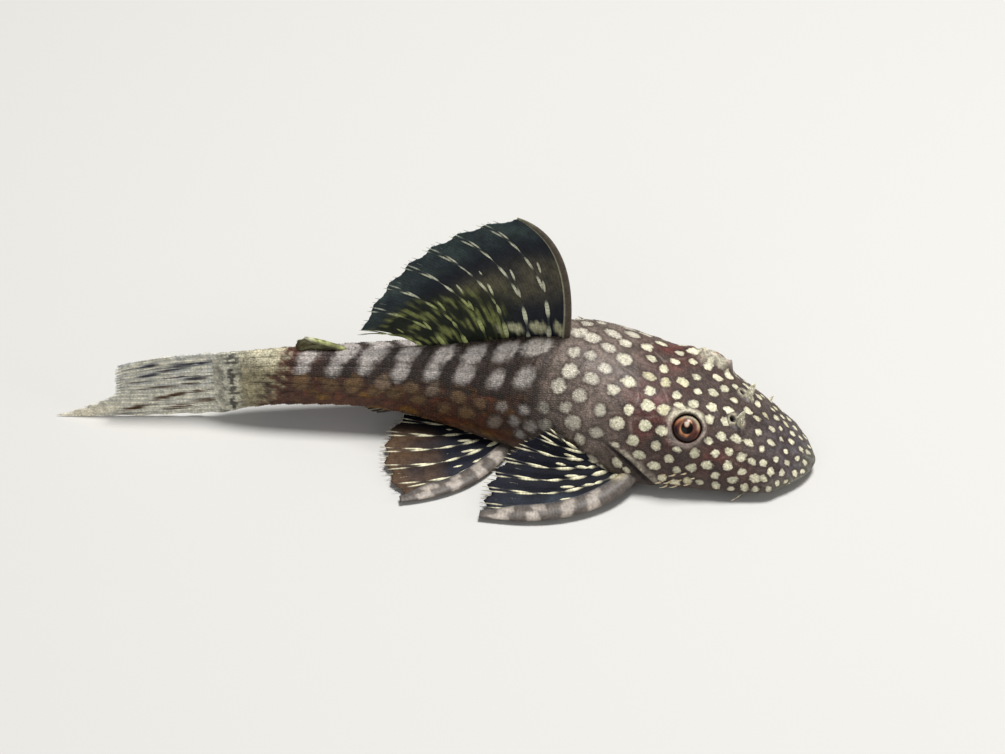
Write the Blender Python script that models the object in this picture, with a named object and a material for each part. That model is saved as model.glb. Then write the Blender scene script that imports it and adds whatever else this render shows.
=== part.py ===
"""Bristlenose pleco at rest on its belly, life size: lofted body sections and fins fanned from their rays."""

import math

import bpy
import numpy as np

# Driving dimensions, in metres. The fish is laid out in fractions of its standard length,
# which runs from the snout to the root of the tail fin.
STANDARD_LENGTH = 0.0625
GAP = 0.0003
FIN_EDGE = 0.0005
WEB_ROOT = 0.65
FLOOR = 0.0

# The head turns to the fish's right, and the trunk bends to follow it.
HEAD_YAW = math.radians(-17.5)
BEND_FROM = 0.30
BEND_TO = 0.62
BELLY_AT = 0.44

# Where the body is parted, as fractions of the standard length.
HEAD_END = 0.288
TRUNK_END = 0.655

SNOUT_START = 0.0004
RING_POINTS = 30
HEAD_RINGS = 26
TRUNK_RINGS = 20
TAIL_RINGS = 12
CLEARANCE_RINGS = 50

# Cross sections along the body, as fractions of the standard length: place behind the snout,
# half width, top, bottom, height of the widest level, then how round the upper and lower halves are.
STATIONS = (
    (0.000, 0.000, 0.023, 0.020, 0.0215, 1.00, 1.00),
    (0.010, 0.029, 0.036, 0.0135, 0.021, 1.10, 0.80),
    (0.030, 0.058, 0.052, 0.013, 0.022, 1.24, 0.60),
    (0.060, 0.086, 0.073, 0.013, 0.023, 1.20, 0.50),
    (0.100, 0.102, 0.099, 0.013, 0.026, 1.04, 0.45),
    (0.150, 0.112, 0.126, 0.013, 0.029, 0.86, 0.45),
    (0.200, 0.122, 0.143, 0.012, 0.032, 0.76, 0.45),
    (0.260, 0.131, 0.162, 0.007, 0.035, 0.84, 0.45),
    (0.330, 0.137, 0.182, -0.002, 0.038, 0.92, 0.45),
    (0.400, 0.128, 0.195, -0.004, 0.042, 0.92, 0.45),
    (0.470, 0.106, 0.190, -0.004, 0.046, 0.92, 0.45),
    (0.540, 0.083, 0.178, -0.003, 0.052, 0.92, 0.50),
    (0.620, 0.062, 0.166, 0.010, 0.066, 0.92, 0.65),
    (0.700, 0.048, 0.158, 0.030, 0.082, 0.90, 0.80),
    (0.800, 0.038, 0.153, 0.040, 0.092, 0.90, 0.90),
    (0.900, 0.029, 0.149, 0.036, 0.092, 0.95, 0.95),
    (0.960, 0.021, 0.146, 0.025, 0.086, 1.00, 1.00),
    (1.000, 0.013, 0.146, 0.013, 0.080, 1.00, 1.00),
)

# Eyes, set into raised rims high on the sides of the head.
EYE_AT = 0.2022
EYE_LATERAL = 0.0780
EYE_HEIGHT = 0.1145
EYE_RADIUS = 0.0020
RIM_RISE = 0.0012
RIM_REACH = 0.0029

# The sucker mouth under the head, a disc with a flat rim.
MOUTH_AT = 0.088
MOUTH_HALF_LENGTH = 0.0035
MOUTH_HALF_WIDTH = 0.0046
MOUTH_HEIGHT = 0.0005
MOUTH_SEGMENTS = 28
# Reach from the centre as a share of the half sizes, and height, from the top round to the dished underside.
MOUTH_PROFILE = (
    (0.30, MOUTH_HEIGHT),
    (0.88, MOUTH_HEIGHT),
    (0.97, MOUTH_HEIGHT * 0.75),
    (1.00, MOUTH_HEIGHT * 0.40),
    (0.96, 0.0),
    (0.72, 0.0),
    (0.62, MOUTH_HEIGHT * 0.20),
    (0.30, MOUTH_HEIGHT * 0.30),
)

# Feelers at the corners of the mouth: radii in metres at shares of their length.
BARBEL_ROOT = (0.099, 0.0835, 0.0058)
BARBEL_TIP = (0.108, 0.1250, 0.0055)
BARBEL_TAPER = ((0.0, 0.00030), (0.5, 0.00030), (0.9, 0.00026), (1.0, 0.00016))

# Nostril flaps: height, half width and half thickness from root to tip, the last two in metres.
FLAP_AT = 0.128
FLAP_LATERAL = 0.034
FLAP_LEAN = 0.25
FLAP_TAPER = (
    (0.092, 0.0007, 0.00040),
    (0.124, 0.0006, 0.00032),
    (0.136, 0.0005, 0.00027),
    (0.143, 0.0003, 0.00022),
)

# Fins fanned between a first and a last ray. A ray is its root, a point that bows it and its tip,
# as place, distance from the middle line and height, in fractions of the standard length.
# The margin point bows the line of tips. Thickness is at the root and the tip, in metres.
MIDDLE_FINS = {
    "dorsal_fin": {
        "first": ((0.425, 0.0, 0.175), (0.405, 0.0, 0.400), (0.512, 0.0, 0.436)),
        "last": ((0.655, 0.0, 0.140), (0.700, 0.0, 0.200), (0.772, 0.0, 0.194)),
        "margin": (0.705, 0.0, 0.402),
        "rays": 8,
        "points": 8,
        "spine": (0.0014, 0.0006),
        "soft": (0.0009, 0.0005),
    },
    "adipose_fin": {
        "first": ((0.776, 0.0, 0.140), (0.806, 0.0, 0.166), (0.862, 0.0, 0.180)),
        "last": ((0.868, 0.0, 0.135), (0.872, 0.0, 0.150), (0.878, 0.0, 0.160)),
        "margin": (0.880, 0.0, 0.175),
        "rays": 3,
        "points": 5,
        "spine": (0.0009, 0.0006),
        "soft": (0.0009, 0.0006),
    },
    "anal_fin": {
        "first": ((0.668, 0.0, 0.052), (0.690, 0.0, 0.016), (0.748, 0.0, 0.008)),
        "last": ((0.700, 0.0, 0.052), (0.730, 0.0, 0.030), (0.772, 0.0, 0.026)),
        "margin": (0.772, 0.0, 0.014),
        "rays": 5,
        "points": 6,
        "spine": (0.0009, 0.0005),
        "soft": (0.0009, 0.0005),
    },
}
# The left ones are folded closer to the body, which hides them from the right.
# The left pectoral fin lies over the pelvic fin behind it.
PAIRED_FINS = {
    "pectoral_fin": {
        "first": ((0.262, 0.100, 0.030), (0.296, 0.278, 0.009), (0.571, 0.249, 0.010)),
        "last": ((0.325, 0.118, 0.045), (0.385, 0.150, 0.085), (0.446, 0.132, 0.100)),
        "margin": (0.590, 0.140, 0.020),
        "rays": 7,
        "points": 8,
        "spine": (0.0016, 0.0008),
        "soft": (0.0009, 0.0005),
        "left_fold": math.radians(-19.0),
        "left_rise": 0.024,
    },
    "pelvic_fin": {
        "first": ((0.498, 0.055, 0.010), (0.548, 0.191, 0.009), (0.704, 0.214, 0.009)),
        "last": ((0.520, 0.030, 0.008), (0.600, 0.040, 0.016), (0.706, 0.014, 0.018)),
        "margin": (0.776, 0.100, 0.016),
        "rays": 6,
        "points": 8,
        "spine": (0.0014, 0.0008),
        "soft": (0.0009, 0.0005),
        "left_fold": math.radians(-14.0),
        "left_rise": 0.0,
    },
}

# The tail fin, half closed, with a long lower lobe whose tip touches the floor.
TAIL_RAYS = 12
TAIL_POINTS = 7
TAIL_ROOT_TOP = 0.142
TAIL_ROOT_BOTTOM = 0.015
TAIL_UPPER_REACH = 1.180
TAIL_LOWER_EXTRA = 0.112
TAIL_LOWER_FROM = 0.62
TAIL_TIP_TOP = 0.112
TAIL_TIP_BOTTOM = 0.004
TAIL_ROOT_THICKNESS = 0.0015

SIDES = {"right": -1.0, "left": 1.0}

# Colour, roughness and metallic value of each material.
MATERIALS = {
    "skin": ((0.15, 0.12, 0.09, 1.0), 0.45, 0.0),
    "fin": ((0.10, 0.11, 0.13, 1.0), 0.35, 0.0),
    "tail_fin": ((0.55, 0.53, 0.45, 1.0), 0.35, 0.0),
    "eye": ((0.35, 0.18, 0.12, 1.0), 0.08, 0.0),
    "mouth": ((0.50, 0.40, 0.32, 1.0), 0.40, 0.0),
}


def clear_scene():
    for obj in list(bpy.data.objects):
        bpy.data.objects.remove(obj, do_unlink=True)


def make_materials():
    made = {}
    for name, (colour, roughness, metallic) in MATERIALS.items():
        material = bpy.data.materials.new(name)
        material.use_nodes = True
        shader = material.node_tree.nodes["Principled BSDF"]
        shader.inputs["Base Color"].default_value = colour
        shader.inputs["Roughness"].default_value = roughness
        shader.inputs["Metallic"].default_value = metallic
        made[name] = material
    return made


def monotone_curve(xs, ys):
    """A smooth curve through the points that never overshoots them."""
    xs = np.asarray(xs, float)
    ys = np.asarray(ys, float)
    steps = np.diff(xs)
    slopes = np.diff(ys) / steps
    tangents = np.empty_like(ys)
    tangents[0] = slopes[0]
    tangents[-1] = slopes[-1]
    for i in range(1, len(xs) - 1):
        before, after = slopes[i - 1], slopes[i]
        if before * after <= 0.0:
            tangents[i] = 0.0
            continue
        weight_a = 2.0 * steps[i] + steps[i - 1]
        weight_b = steps[i] + 2.0 * steps[i - 1]
        tangents[i] = (weight_a + weight_b) / (weight_a / before + weight_b / after)

    def value(x):
        i = int(np.clip(np.searchsorted(xs, x) - 1, 0, len(steps) - 1))
        t = (x - xs[i]) / steps[i]
        start = ys[i] * (1 + 2 * t) * (1 - t) ** 2 + tangents[i] * steps[i] * t * (1 - t) ** 2
        end = ys[i + 1] * t * t * (3 - 2 * t) + tangents[i + 1] * steps[i] * t * t * (t - 1)
        return float(start + end)

    return value


# The curves run over the square root of the place, which rounds the snout.
STATION_ROOTS = [math.sqrt(row[0]) for row in STATIONS]
HALF_WIDTH, TOP, BOTTOM, WIDEST, CROWN, KEEL = (
    monotone_curve(STATION_ROOTS, [row[column] for row in STATIONS]) for column in range(1, 7)
)


def heading(fraction):
    """Direction the body faces at a place along it, as an angle from +X."""
    t = min(max((fraction - BEND_FROM) / (BEND_TO - BEND_FROM), 0.0), 1.0)
    return HEAD_YAW * (1.0 - t * t * (3.0 - 2.0 * t))


def spine_line(steps=400, reach=1.4):
    """The middle line in plan, as places and points, with the belly point over the origin."""
    places = np.linspace(0.0, reach, steps)
    angles = np.array([heading(place) for place in places])
    step = places[1] - places[0]
    back = np.stack([-np.cos(angles), -np.sin(angles)], axis=1)
    middle = (back[1:] + back[:-1]) * 0.5 * step
    points = np.concatenate([[[0.0, 0.0]], np.cumsum(middle, axis=0)])
    origin = [np.interp(BELLY_AT, places, points[:, axis]) for axis in range(2)]
    return places, points - origin


SPINE_PLACES, SPINE_POINTS = spine_line()


def body_point(fraction, lateral, height):
    """A point in metres from a place along the body, a distance to the fish's left and a height."""
    angle = heading(fraction)
    ahead = min(fraction, 0.0)
    x = np.interp(fraction, SPINE_PLACES, SPINE_POINTS[:, 0]) - ahead * math.cos(angle)
    y = np.interp(fraction, SPINE_PLACES, SPINE_POINTS[:, 1]) - ahead * math.sin(angle)
    x -= math.sin(angle) * lateral
    y += math.cos(angle) * lateral
    return np.array([x, y, height]) * STANDARD_LENGTH


def signed_power(value, power):
    return math.copysign(abs(value) ** power, value)


def eye_frame(side):
    """The eye's centre and the direction that it looks in."""
    centre = body_point(EYE_AT, side * EYE_LATERAL, EYE_HEIGHT)
    outward = body_point(EYE_AT - 0.15, side * (EYE_LATERAL + 0.60), EYE_HEIGHT + 0.66) - centre
    return centre, outward / np.linalg.norm(outward)


def raised_rims(point, normal):
    """The point moved out where a rim rises round an eye."""
    for side in SIDES.values():
        centre, outward = eye_frame(side)
        offset = point - centre
        depth = float(offset @ outward)
        radius = float(np.linalg.norm(offset - outward * depth))
        if depth > 0.0:
            point = point + normal * RIM_RISE * math.exp(-((radius / RIM_REACH) ** 4))
    return point


def section_ring(fraction, inflate=0.0):
    """One closed ring of points round the body, never below the floor."""
    root = math.sqrt(fraction)
    half_width = HALF_WIDTH(root)
    top, bottom, widest = TOP(root), BOTTOM(root), WIDEST(root)
    crown, keel = CROWN(root), KEEL(root)
    grow = inflate / STANDARD_LENGTH
    ring = []
    for k in range(RING_POINTS):
        angle = 2.0 * math.pi * k / RING_POINTS
        over, side = math.sin(angle), math.cos(angle)
        power = crown if over >= 0.0 else keel
        reach = (top - widest) if over >= 0.0 else (widest - bottom)
        lateral = (half_width + grow) * signed_power(side, power)
        height = widest + (reach + grow) * signed_power(over, power)
        if inflate == 0.0:
            height = max(height, FLOOR)
        normal = body_point(fraction, side, over) - body_point(fraction, 0.0, 0.0)
        normal = normal / max(np.linalg.norm(normal), 1e-9)
        ring.append(raised_rims(body_point(fraction, lateral, height), normal))
    return ring


def signed_volume(vertices, faces):
    total = 0.0
    for face in faces:
        corners = [np.asarray(vertices[i], float) for i in face]
        for b, c in zip(corners[1:], corners[2:]):
            total += float(np.dot(corners[0], np.cross(b, c))) / 6.0
    return total


def mesh_object(name, vertices, faces, material, sharp_degrees=40.0):
    """A closed solid, with its faces wound to point outward."""
    if signed_volume(vertices, faces) < 0.0:
        faces = [tuple(reversed(face)) for face in faces]
    mesh = bpy.data.meshes.new(name)
    mesh.from_pydata([tuple(map(float, vertex)) for vertex in vertices], [], faces)
    mesh.materials.append(material)
    mesh.shade_smooth()
    mesh.set_sharp_from_angle(angle=math.radians(sharp_degrees))
    obj = bpy.data.objects.new(name, mesh)
    bpy.context.scene.collection.objects.link(obj)
    return obj


def loft(rings):
    """Vertices and faces of a closed skin over rings of equal length, capped with a centre point."""
    count = len(rings[0])
    vertices = [point for ring in rings for point in ring]
    faces = []
    for i in range(len(rings) - 1):
        for k in range(count):
            a, b = i * count + k, i * count + (k + 1) % count
            faces.append((a, b, b + count, a + count))
    first, last = len(vertices), len(vertices) + 1
    vertices.append(np.mean(rings[0], axis=0))
    vertices.append(np.mean(rings[-1], axis=0))
    base = (len(rings) - 1) * count
    for k in range(count):
        after = (k + 1) % count
        faces.append((first, after, k))
        faces.append((last, base + k, base + after))
    return vertices, faces


def ring_places(start, end, rings):
    """Places from start to end, closer together near the snout."""
    roots = np.linspace(math.sqrt(start), math.sqrt(end), rings)
    return [float(root) ** 2 for root in roots]


def body_length(name, start, end, rings, material, inflate=0.0):
    places = ring_places(start, end, rings)
    vertices, faces = loft([section_ring(place, inflate) for place in places])
    return mesh_object(name, vertices, faces, material)


def boolean(obj, other, operation):
    modifier = obj.modifiers.new(operation.lower(), "BOOLEAN")
    modifier.operation = operation
    modifier.solver = "EXACT"
    modifier.object = other


def hide_as_guide(obj):
    obj.hide_render = True
    obj.display_type = "WIRE"
    return obj


def ball(name, centre, radius, material, segments=20, rings=12):
    rows = []
    for i in range(1, rings):
        polar = math.pi * i / rings
        row = []
        for k in range(segments):
            turn = 2.0 * math.pi * k / segments
            offset = (
                math.sin(polar) * math.cos(turn),
                math.sin(polar) * math.sin(turn),
                -math.cos(polar),
            )
            row.append(np.array(centre) + radius * np.array(offset))
        rows.append(row)
    vertices, faces = loft(rows)
    vertices[-2] = np.array(centre) - (0.0, 0.0, radius)
    vertices[-1] = np.array(centre) + (0.0, 0.0, radius)
    return mesh_object(name, vertices, faces, material)


def make_body(materials):
    margin = GAP / STANDARD_LENGTH
    head = body_length("head", SNOUT_START, HEAD_END, HEAD_RINGS, materials["skin"])
    body_length("trunk", HEAD_END + margin, TRUNK_END, TRUNK_RINGS, materials["skin"])
    body_length("tail_stalk", TRUNK_END + margin, 1.0, TAIL_RINGS, materials["skin"])
    whole = body_length("body_clearance", SNOUT_START, 1.0, CLEARANCE_RINGS, materials["skin"], GAP)
    return head, hide_as_guide(whole)


def make_eyes(head, materials):
    for side_name, side in SIDES.items():
        centre, _ = eye_frame(side)
        ball(f"eye_{side_name}", centre, EYE_RADIUS, materials["eye"])
        socket = ball(f"socket_{side_name}", centre, EYE_RADIUS + GAP, materials["skin"])
        boolean(head, hide_as_guide(socket), "DIFFERENCE")


def make_mouth(materials):
    """A lip disc, dished on its underside, with its flat rim on the floor."""
    rings = []
    for reach, height in MOUTH_PROFILE:
        ring = []
        for k in range(MOUTH_SEGMENTS):
            turn = 2.0 * math.pi * k / MOUTH_SEGMENTS
            along = MOUTH_HALF_LENGTH * reach * math.cos(turn) / STANDARD_LENGTH
            across = MOUTH_HALF_WIDTH * reach * math.sin(turn) / STANDARD_LENGTH
            ring.append(body_point(MOUTH_AT + along, across, height / STANDARD_LENGTH))
        rings.append(ring)
    vertices, faces = loft(rings)
    mesh_object("mouth_disc", vertices, faces, materials["mouth"])


def tapered_rings(centres, sizes, across, up, segments=8):
    """Rings round a tapered rod, one for each centre, with their half sizes across and up."""
    rings = []
    for centre, (half_across, half_up) in zip(centres, sizes):
        ring = []
        for k in range(segments):
            turn = 2.0 * math.pi * k / segments
            offset = across * half_across * math.cos(turn) + up * half_up * math.sin(turn)
            ring.append(centre + offset)
        rings.append(ring)
    return rings


def make_barbels(materials):
    """A short feeler at each corner of the mouth, lying just over the floor."""
    for side_name, side in SIDES.items():
        start, end = (body_point(f, side * lateral, z) for f, lateral, z in (BARBEL_ROOT, BARBEL_TIP))
        along = (end - start) / np.linalg.norm(end - start)
        across = np.cross(along, (0.0, 0.0, 1.0))
        across /= np.linalg.norm(across)
        centres = [start + (end - start) * share for share, _ in BARBEL_TAPER]
        sizes = [(radius, radius) for _, radius in BARBEL_TAPER]
        rings = tapered_rings(centres, sizes, across, np.cross(across, along))
        vertices, faces = loft(rings)
        mesh_object(f"barbel_{side_name}", vertices, faces, materials["skin"])


def make_nostril_flaps(head, materials):
    """A raised flap of skin between the two openings of each nostril, grown from the head."""
    along, across = np.array((1.0, 0.0, 0.0)), np.array((0.0, 1.0, 0.0))
    for side_name, side in SIDES.items():
        centres = []
        for height, _, _ in FLAP_TAPER:
            lateral = FLAP_LATERAL + (height - FLAP_TAPER[0][0]) * FLAP_LEAN
            centres.append(body_point(FLAP_AT, side * lateral, height))
        sizes = [(half_width, half_thickness) for _, half_width, half_thickness in FLAP_TAPER]
        vertices, faces = loft(tapered_rings(centres, sizes, across, along))
        flap = mesh_object(f"nostril_{side_name}", vertices, faces, materials["skin"])
        boolean(head, hide_as_guide(flap), "UNION")


def bow(start, control, end, count):
    """Points along a quadratic curve, in body coordinates."""
    start, control, end = (np.array(point, float) for point in (start, control, end))
    ts = np.linspace(0.0, 1.0, count)[:, None]
    return (1 - ts) ** 2 * start + 2 * ts * (1 - ts) * control + ts**2 * end


def fan_rays(layout):
    """Rays blended from the first to the last one, with their tips along the bowed margin."""
    count = layout["rays"]
    first, last = np.array(layout["first"]), np.array(layout["last"])
    tips = bow(first[2], layout["margin"], last[2], count)
    sags = [ray[1] - (ray[0] + ray[2]) * 0.5 for ray in (first, last)]
    rays = []
    for i in range(count):
        t = i / (count - 1)
        root = first[0] * (1 - t) + last[0] * t
        sag = sags[0] * (1 - t) + sags[1] * t
        rays.append(bow(root, (root + tips[i]) * 0.5 + sag, tips[i], layout["points"]))
    return rays


def fan_thickness(layout):
    return [layout["spine"]] + [layout["soft"]] * (layout["rays"] - 1)


def fin_solid(name, rays, thickness, material, notch=0.04):
    """A closed fin from its rays: ridged along each ray and thinner between, with a scalloped edge.

    rays are lists of points in body coordinates, and thickness holds each ray's root and tip in metres."""
    columns = []
    halves = []
    points = len(rays[0])
    ts = np.linspace(0.0, 1.0, points)
    for i, ray in enumerate(rays):
        columns.append([body_point(*p) for p in ray])
        root, tip = thickness[i]
        halves.append((root * (1 - ts) + tip * ts) * 0.5)
        if i + 1 < len(rays):
            web = (np.asarray(ray) + np.asarray(rays[i + 1])) * 0.5
            web[-1] = web[-1] * (1 - notch) + web[-2] * notch
            columns.append([body_point(*p) for p in web])
            halves.append((root * WEB_ROOT * (1 - ts) + FIN_EDGE * ts) * 0.5)
    grid = np.array(columns)
    half = np.array(halves)
    along = np.gradient(grid, axis=1)
    across = np.gradient(grid, axis=0)
    normal = np.cross(across, along)
    normal /= np.linalg.norm(normal, axis=2, keepdims=True)
    upper = grid + normal * half[..., None]
    lower = grid - normal * half[..., None]
    low = lower[..., 2]
    lift = np.maximum(FLOOR - np.minimum(low, upper[..., 2]), 0.0)
    upper[..., 2] += lift
    lower[..., 2] += lift
    return grid_solid(name, upper, lower, material)


def grid_solid(name, upper, lower, material):
    """A closed solid between two sheets of points with the same layout."""
    rows, cols = upper.shape[:2]
    vertices = [*upper.reshape(-1, 3), *lower.reshape(-1, 3)]
    under = rows * cols
    faces = []
    for i in range(rows - 1):
        for j in range(cols - 1):
            a = i * cols + j
            b = a + cols
            faces.append((a, b, b + 1, a + 1))
            faces.append((under + a, under + a + 1, under + b + 1, under + b))
    edge = [(i, 0) for i in range(rows)]
    edge += [(rows - 1, j) for j in range(1, cols)]
    edge += [(i, cols - 1) for i in range(rows - 2, -1, -1)]
    edge += [(0, j) for j in range(cols - 2, 0, -1)]
    ids = [i * cols + j for i, j in edge]
    for k, a in enumerate(ids):
        b = ids[(k + 1) % len(ids)]
        faces.append((a, a + under, b + under, b))
    obj = mesh_object(name, vertices, faces, material, sharp_degrees=60.0)
    return obj


def folded(rays, angle, rise):
    """Rays turned toward the body about the first one's root, the first by the whole angle and the
    last not at all, and lifted by the rise toward their tips."""
    pivot = rays[0][0]
    lift = np.linspace(0.0, 1.0, len(rays[0])) ** 2 * rise
    turned = []
    for i, ray in enumerate(rays):
        turn = angle * (1.0 - i / (len(rays) - 1))
        along = ray[:, 0] - pivot[0]
        across = ray[:, 1] - pivot[1]
        ray = ray.copy()
        ray[:, 0] = pivot[0] + along * math.cos(turn) - across * math.sin(turn)
        ray[:, 1] = pivot[1] + along * math.sin(turn) + across * math.cos(turn)
        ray[:, 2] += lift
        turned.append(ray)
    return turned


def make_middle_fins(materials, clearance):
    for name, layout in MIDDLE_FINS.items():
        fin = fin_solid(name, fan_rays(layout), fan_thickness(layout), materials["fin"])
        boolean(fin, clearance, "DIFFERENCE")


def make_paired_fins(materials, clearance):
    for name, layout in PAIRED_FINS.items():
        for side_name, side in SIDES.items():
            rays = fan_rays(layout)
            if side_name == "left":
                rays = folded(rays, layout["left_fold"], layout["left_rise"])
            rays = [ray * (1.0, side, 1.0) for ray in rays]
            fin = fin_solid(f"{name}_{side_name}", rays, fan_thickness(layout), materials["fin"])
            boolean(fin, clearance, "DIFFERENCE")


def make_caudal_fin(materials):
    start = 1.0 + GAP / STANDARD_LENGTH
    rays = []
    for i in range(TAIL_RAYS):
        t = i / (TAIL_RAYS - 1)
        root = np.array((start, 0.0, TAIL_ROOT_TOP * (1 - t) + TAIL_ROOT_BOTTOM * t))
        lower = max(0.0, (t - TAIL_LOWER_FROM) / (1.0 - TAIL_LOWER_FROM))
        bulge = math.sin(math.pi * t)
        reach = TAIL_UPPER_REACH + 0.006 * bulge + TAIL_LOWER_EXTRA * lower**1.6
        height = (TAIL_TIP_TOP - TAIL_TIP_BOTTOM) * (1 - t) ** 1.15 + TAIL_TIP_BOTTOM + 0.028 * bulge * t
        tip = np.array((reach, 0.0, height))
        control = (root + tip) * 0.5 + (0.0, 0.0, 0.014 * (1 - 1.6 * t))
        rays.append(bow(root, control, tip, TAIL_POINTS))
    edge = (TAIL_ROOT_THICKNESS, 0.0006)
    thickness = [edge] + [(TAIL_ROOT_THICKNESS, FIN_EDGE)] * (TAIL_RAYS - 2) + [edge]
    fin_solid("caudal_fin", rays, thickness, materials["tail_fin"])


def main():
    clear_scene()
    materials = make_materials()
    head, clearance = make_body(materials)
    make_eyes(head, materials)
    make_nostril_flaps(head, materials)
    make_mouth(materials)
    make_barbels(materials)
    make_middle_fins(materials, clearance)
    make_paired_fins(materials, clearance)
    make_caudal_fin(materials)


main()
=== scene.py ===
"""Looks of the bristlenose pleco: one spotted skin with scutes over the body, a coat of tiny
denticles, fins of branched rays and smoky webs, glossy eyes and a sucker mouth."""

import math
from types import SimpleNamespace

import bpy
import numpy as np
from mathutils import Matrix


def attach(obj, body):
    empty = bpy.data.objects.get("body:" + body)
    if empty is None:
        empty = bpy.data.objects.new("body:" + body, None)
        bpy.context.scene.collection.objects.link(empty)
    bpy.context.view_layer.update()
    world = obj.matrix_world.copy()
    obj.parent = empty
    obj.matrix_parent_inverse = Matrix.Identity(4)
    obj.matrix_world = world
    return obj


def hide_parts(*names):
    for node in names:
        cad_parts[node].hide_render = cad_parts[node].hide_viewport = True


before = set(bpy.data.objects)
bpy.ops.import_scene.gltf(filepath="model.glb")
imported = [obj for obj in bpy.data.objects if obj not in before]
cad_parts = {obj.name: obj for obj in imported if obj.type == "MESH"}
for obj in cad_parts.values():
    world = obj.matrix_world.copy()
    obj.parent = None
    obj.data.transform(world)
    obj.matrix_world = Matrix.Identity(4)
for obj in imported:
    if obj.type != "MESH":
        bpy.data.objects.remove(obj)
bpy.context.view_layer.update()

MM = 0.001
TURN = 2.0 * math.pi

# The body's measures, the same as in the solids: fractions of the standard length unless said.
STANDARD_LENGTH = 0.0625
HEAD_YAW = math.radians(-17.5)
BEND_FROM = 0.30
BEND_TO = 0.62
BELLY_AT = 0.44
SNOUT_START = 0.0004
STATIONS = (
    (0.000, 0.000, 0.023, 0.020, 0.0215, 1.00, 1.00),
    (0.010, 0.029, 0.036, 0.0135, 0.021, 1.10, 0.80),
    (0.030, 0.058, 0.052, 0.013, 0.022, 1.24, 0.60),
    (0.060, 0.086, 0.073, 0.013, 0.023, 1.20, 0.50),
    (0.100, 0.102, 0.099, 0.013, 0.026, 1.04, 0.45),
    (0.150, 0.112, 0.126, 0.013, 0.029, 0.86, 0.45),
    (0.200, 0.122, 0.143, 0.012, 0.032, 0.76, 0.45),
    (0.260, 0.131, 0.162, 0.007, 0.035, 0.84, 0.45),
    (0.330, 0.137, 0.182, -0.002, 0.038, 0.92, 0.45),
    (0.400, 0.128, 0.195, -0.004, 0.042, 0.92, 0.45),
    (0.470, 0.106, 0.190, -0.004, 0.046, 0.92, 0.45),
    (0.540, 0.083, 0.178, -0.003, 0.052, 0.92, 0.50),
    (0.620, 0.062, 0.166, 0.010, 0.066, 0.92, 0.65),
    (0.700, 0.048, 0.158, 0.030, 0.082, 0.90, 0.80),
    (0.800, 0.038, 0.153, 0.040, 0.092, 0.90, 0.90),
    (0.900, 0.029, 0.149, 0.036, 0.092, 0.95, 0.95),
    (0.960, 0.021, 0.146, 0.025, 0.086, 1.00, 1.00),
    (1.000, 0.013, 0.146, 0.013, 0.080, 1.00, 1.00),
    (1.018, 0.004, 0.140, 0.020, 0.080, 1.00, 1.00),
)
SKIN_END = 1.018

EYE_AT = 0.2022
EYE_LATERAL = 0.0780
EYE_HEIGHT = 0.1145
RIM_RISE = 1.2 * MM
RIM_REACH = 2.9 * MM

MOUTH_AT = 0.088
MOUTH_HALF_LENGTH = 3.5 * MM
MOUTH_HALF_WIDTH = 4.6 * MM

BARBEL_ROOT = (0.099, 0.0835, 0.0075)
BARBEL_TIP = (0.104, 0.1075, 0.0042)

NOSTRIL_AT = 0.129
NOSTRIL_LATERAL = 0.0330

SIDES = {"right": -1.0, "left": 1.0}

# How far the skin lies inside the solids, which is the depth of the coat of denticles.
COAT_DEPTH = 0.05 * MM
FLOOR_CLEARANCE = 0.02 * MM


def off_floor(points, clearance=FLOOR_CLEARANCE):
    """Lifts the points that lie lower than the clearance."""
    points[..., 2] = np.maximum(points[..., 2], clearance)


def monotone_curve(xs, ys):
    """A smooth curve through the points that never overshoots them."""
    xs = np.asarray(xs, float)
    ys = np.asarray(ys, float)
    steps = np.diff(xs)
    slopes = np.diff(ys) / steps
    tangents = np.empty_like(ys)
    tangents[0] = slopes[0]
    tangents[-1] = slopes[-1]
    for i in range(1, len(xs) - 1):
        before, after = slopes[i - 1], slopes[i]
        if before * after <= 0.0:
            tangents[i] = 0.0
            continue
        weight_a = 2.0 * steps[i] + steps[i - 1]
        weight_b = steps[i] + 2.0 * steps[i - 1]
        tangents[i] = (weight_a + weight_b) / (weight_a / before + weight_b / after)

    def value(x):
        x = np.asarray(x, float)
        i = np.clip(np.searchsorted(xs, x) - 1, 0, len(steps) - 1)
        t = (x - xs[i]) / steps[i]
        start = ys[i] * (1 + 2 * t) * (1 - t) ** 2 + tangents[i] * steps[i] * t * (1 - t) ** 2
        end = ys[i + 1] * t * t * (3 - 2 * t) + tangents[i + 1] * steps[i] * t * t * (t - 1)
        return start + end

    return value


STATION_ROOTS = [math.sqrt(row[0]) for row in STATIONS]
HALF_WIDTH, TOP, BOTTOM, WIDEST, CROWN, KEEL = (
    monotone_curve(STATION_ROOTS, [row[column] for row in STATIONS]) for column in range(1, 7)
)


def smooth(low, high, value):
    """0 below low, 1 above high and a smooth step between."""
    t = np.clip((np.asarray(value, float) - low) / (high - low), 0.0, 1.0)
    return t * t * (3.0 - 2.0 * t)


def fading(low, high, value):
    """1 below low, 0 above high and a smooth step between."""
    return 1.0 - smooth(low, high, value)


def bell(value, centre, width):
    """1 at the centre, falling off to nothing on both sides."""
    return np.exp(-(((np.asarray(value, float) - centre) / width) ** 2))


def signed_power(value, power):
    """A power of the size that keeps the sign."""
    return np.sign(value) * np.abs(value) ** power


def unit(vectors):
    """The vectors at length 1."""
    vectors = np.asarray(vectors, float)
    return vectors / np.maximum(np.linalg.norm(vectors, axis=-1, keepdims=True), 1e-12)


def heading(fraction):
    """Direction the body faces at a place along it, as an angle from +X."""
    return HEAD_YAW * fading(BEND_FROM, BEND_TO, fraction)


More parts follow.
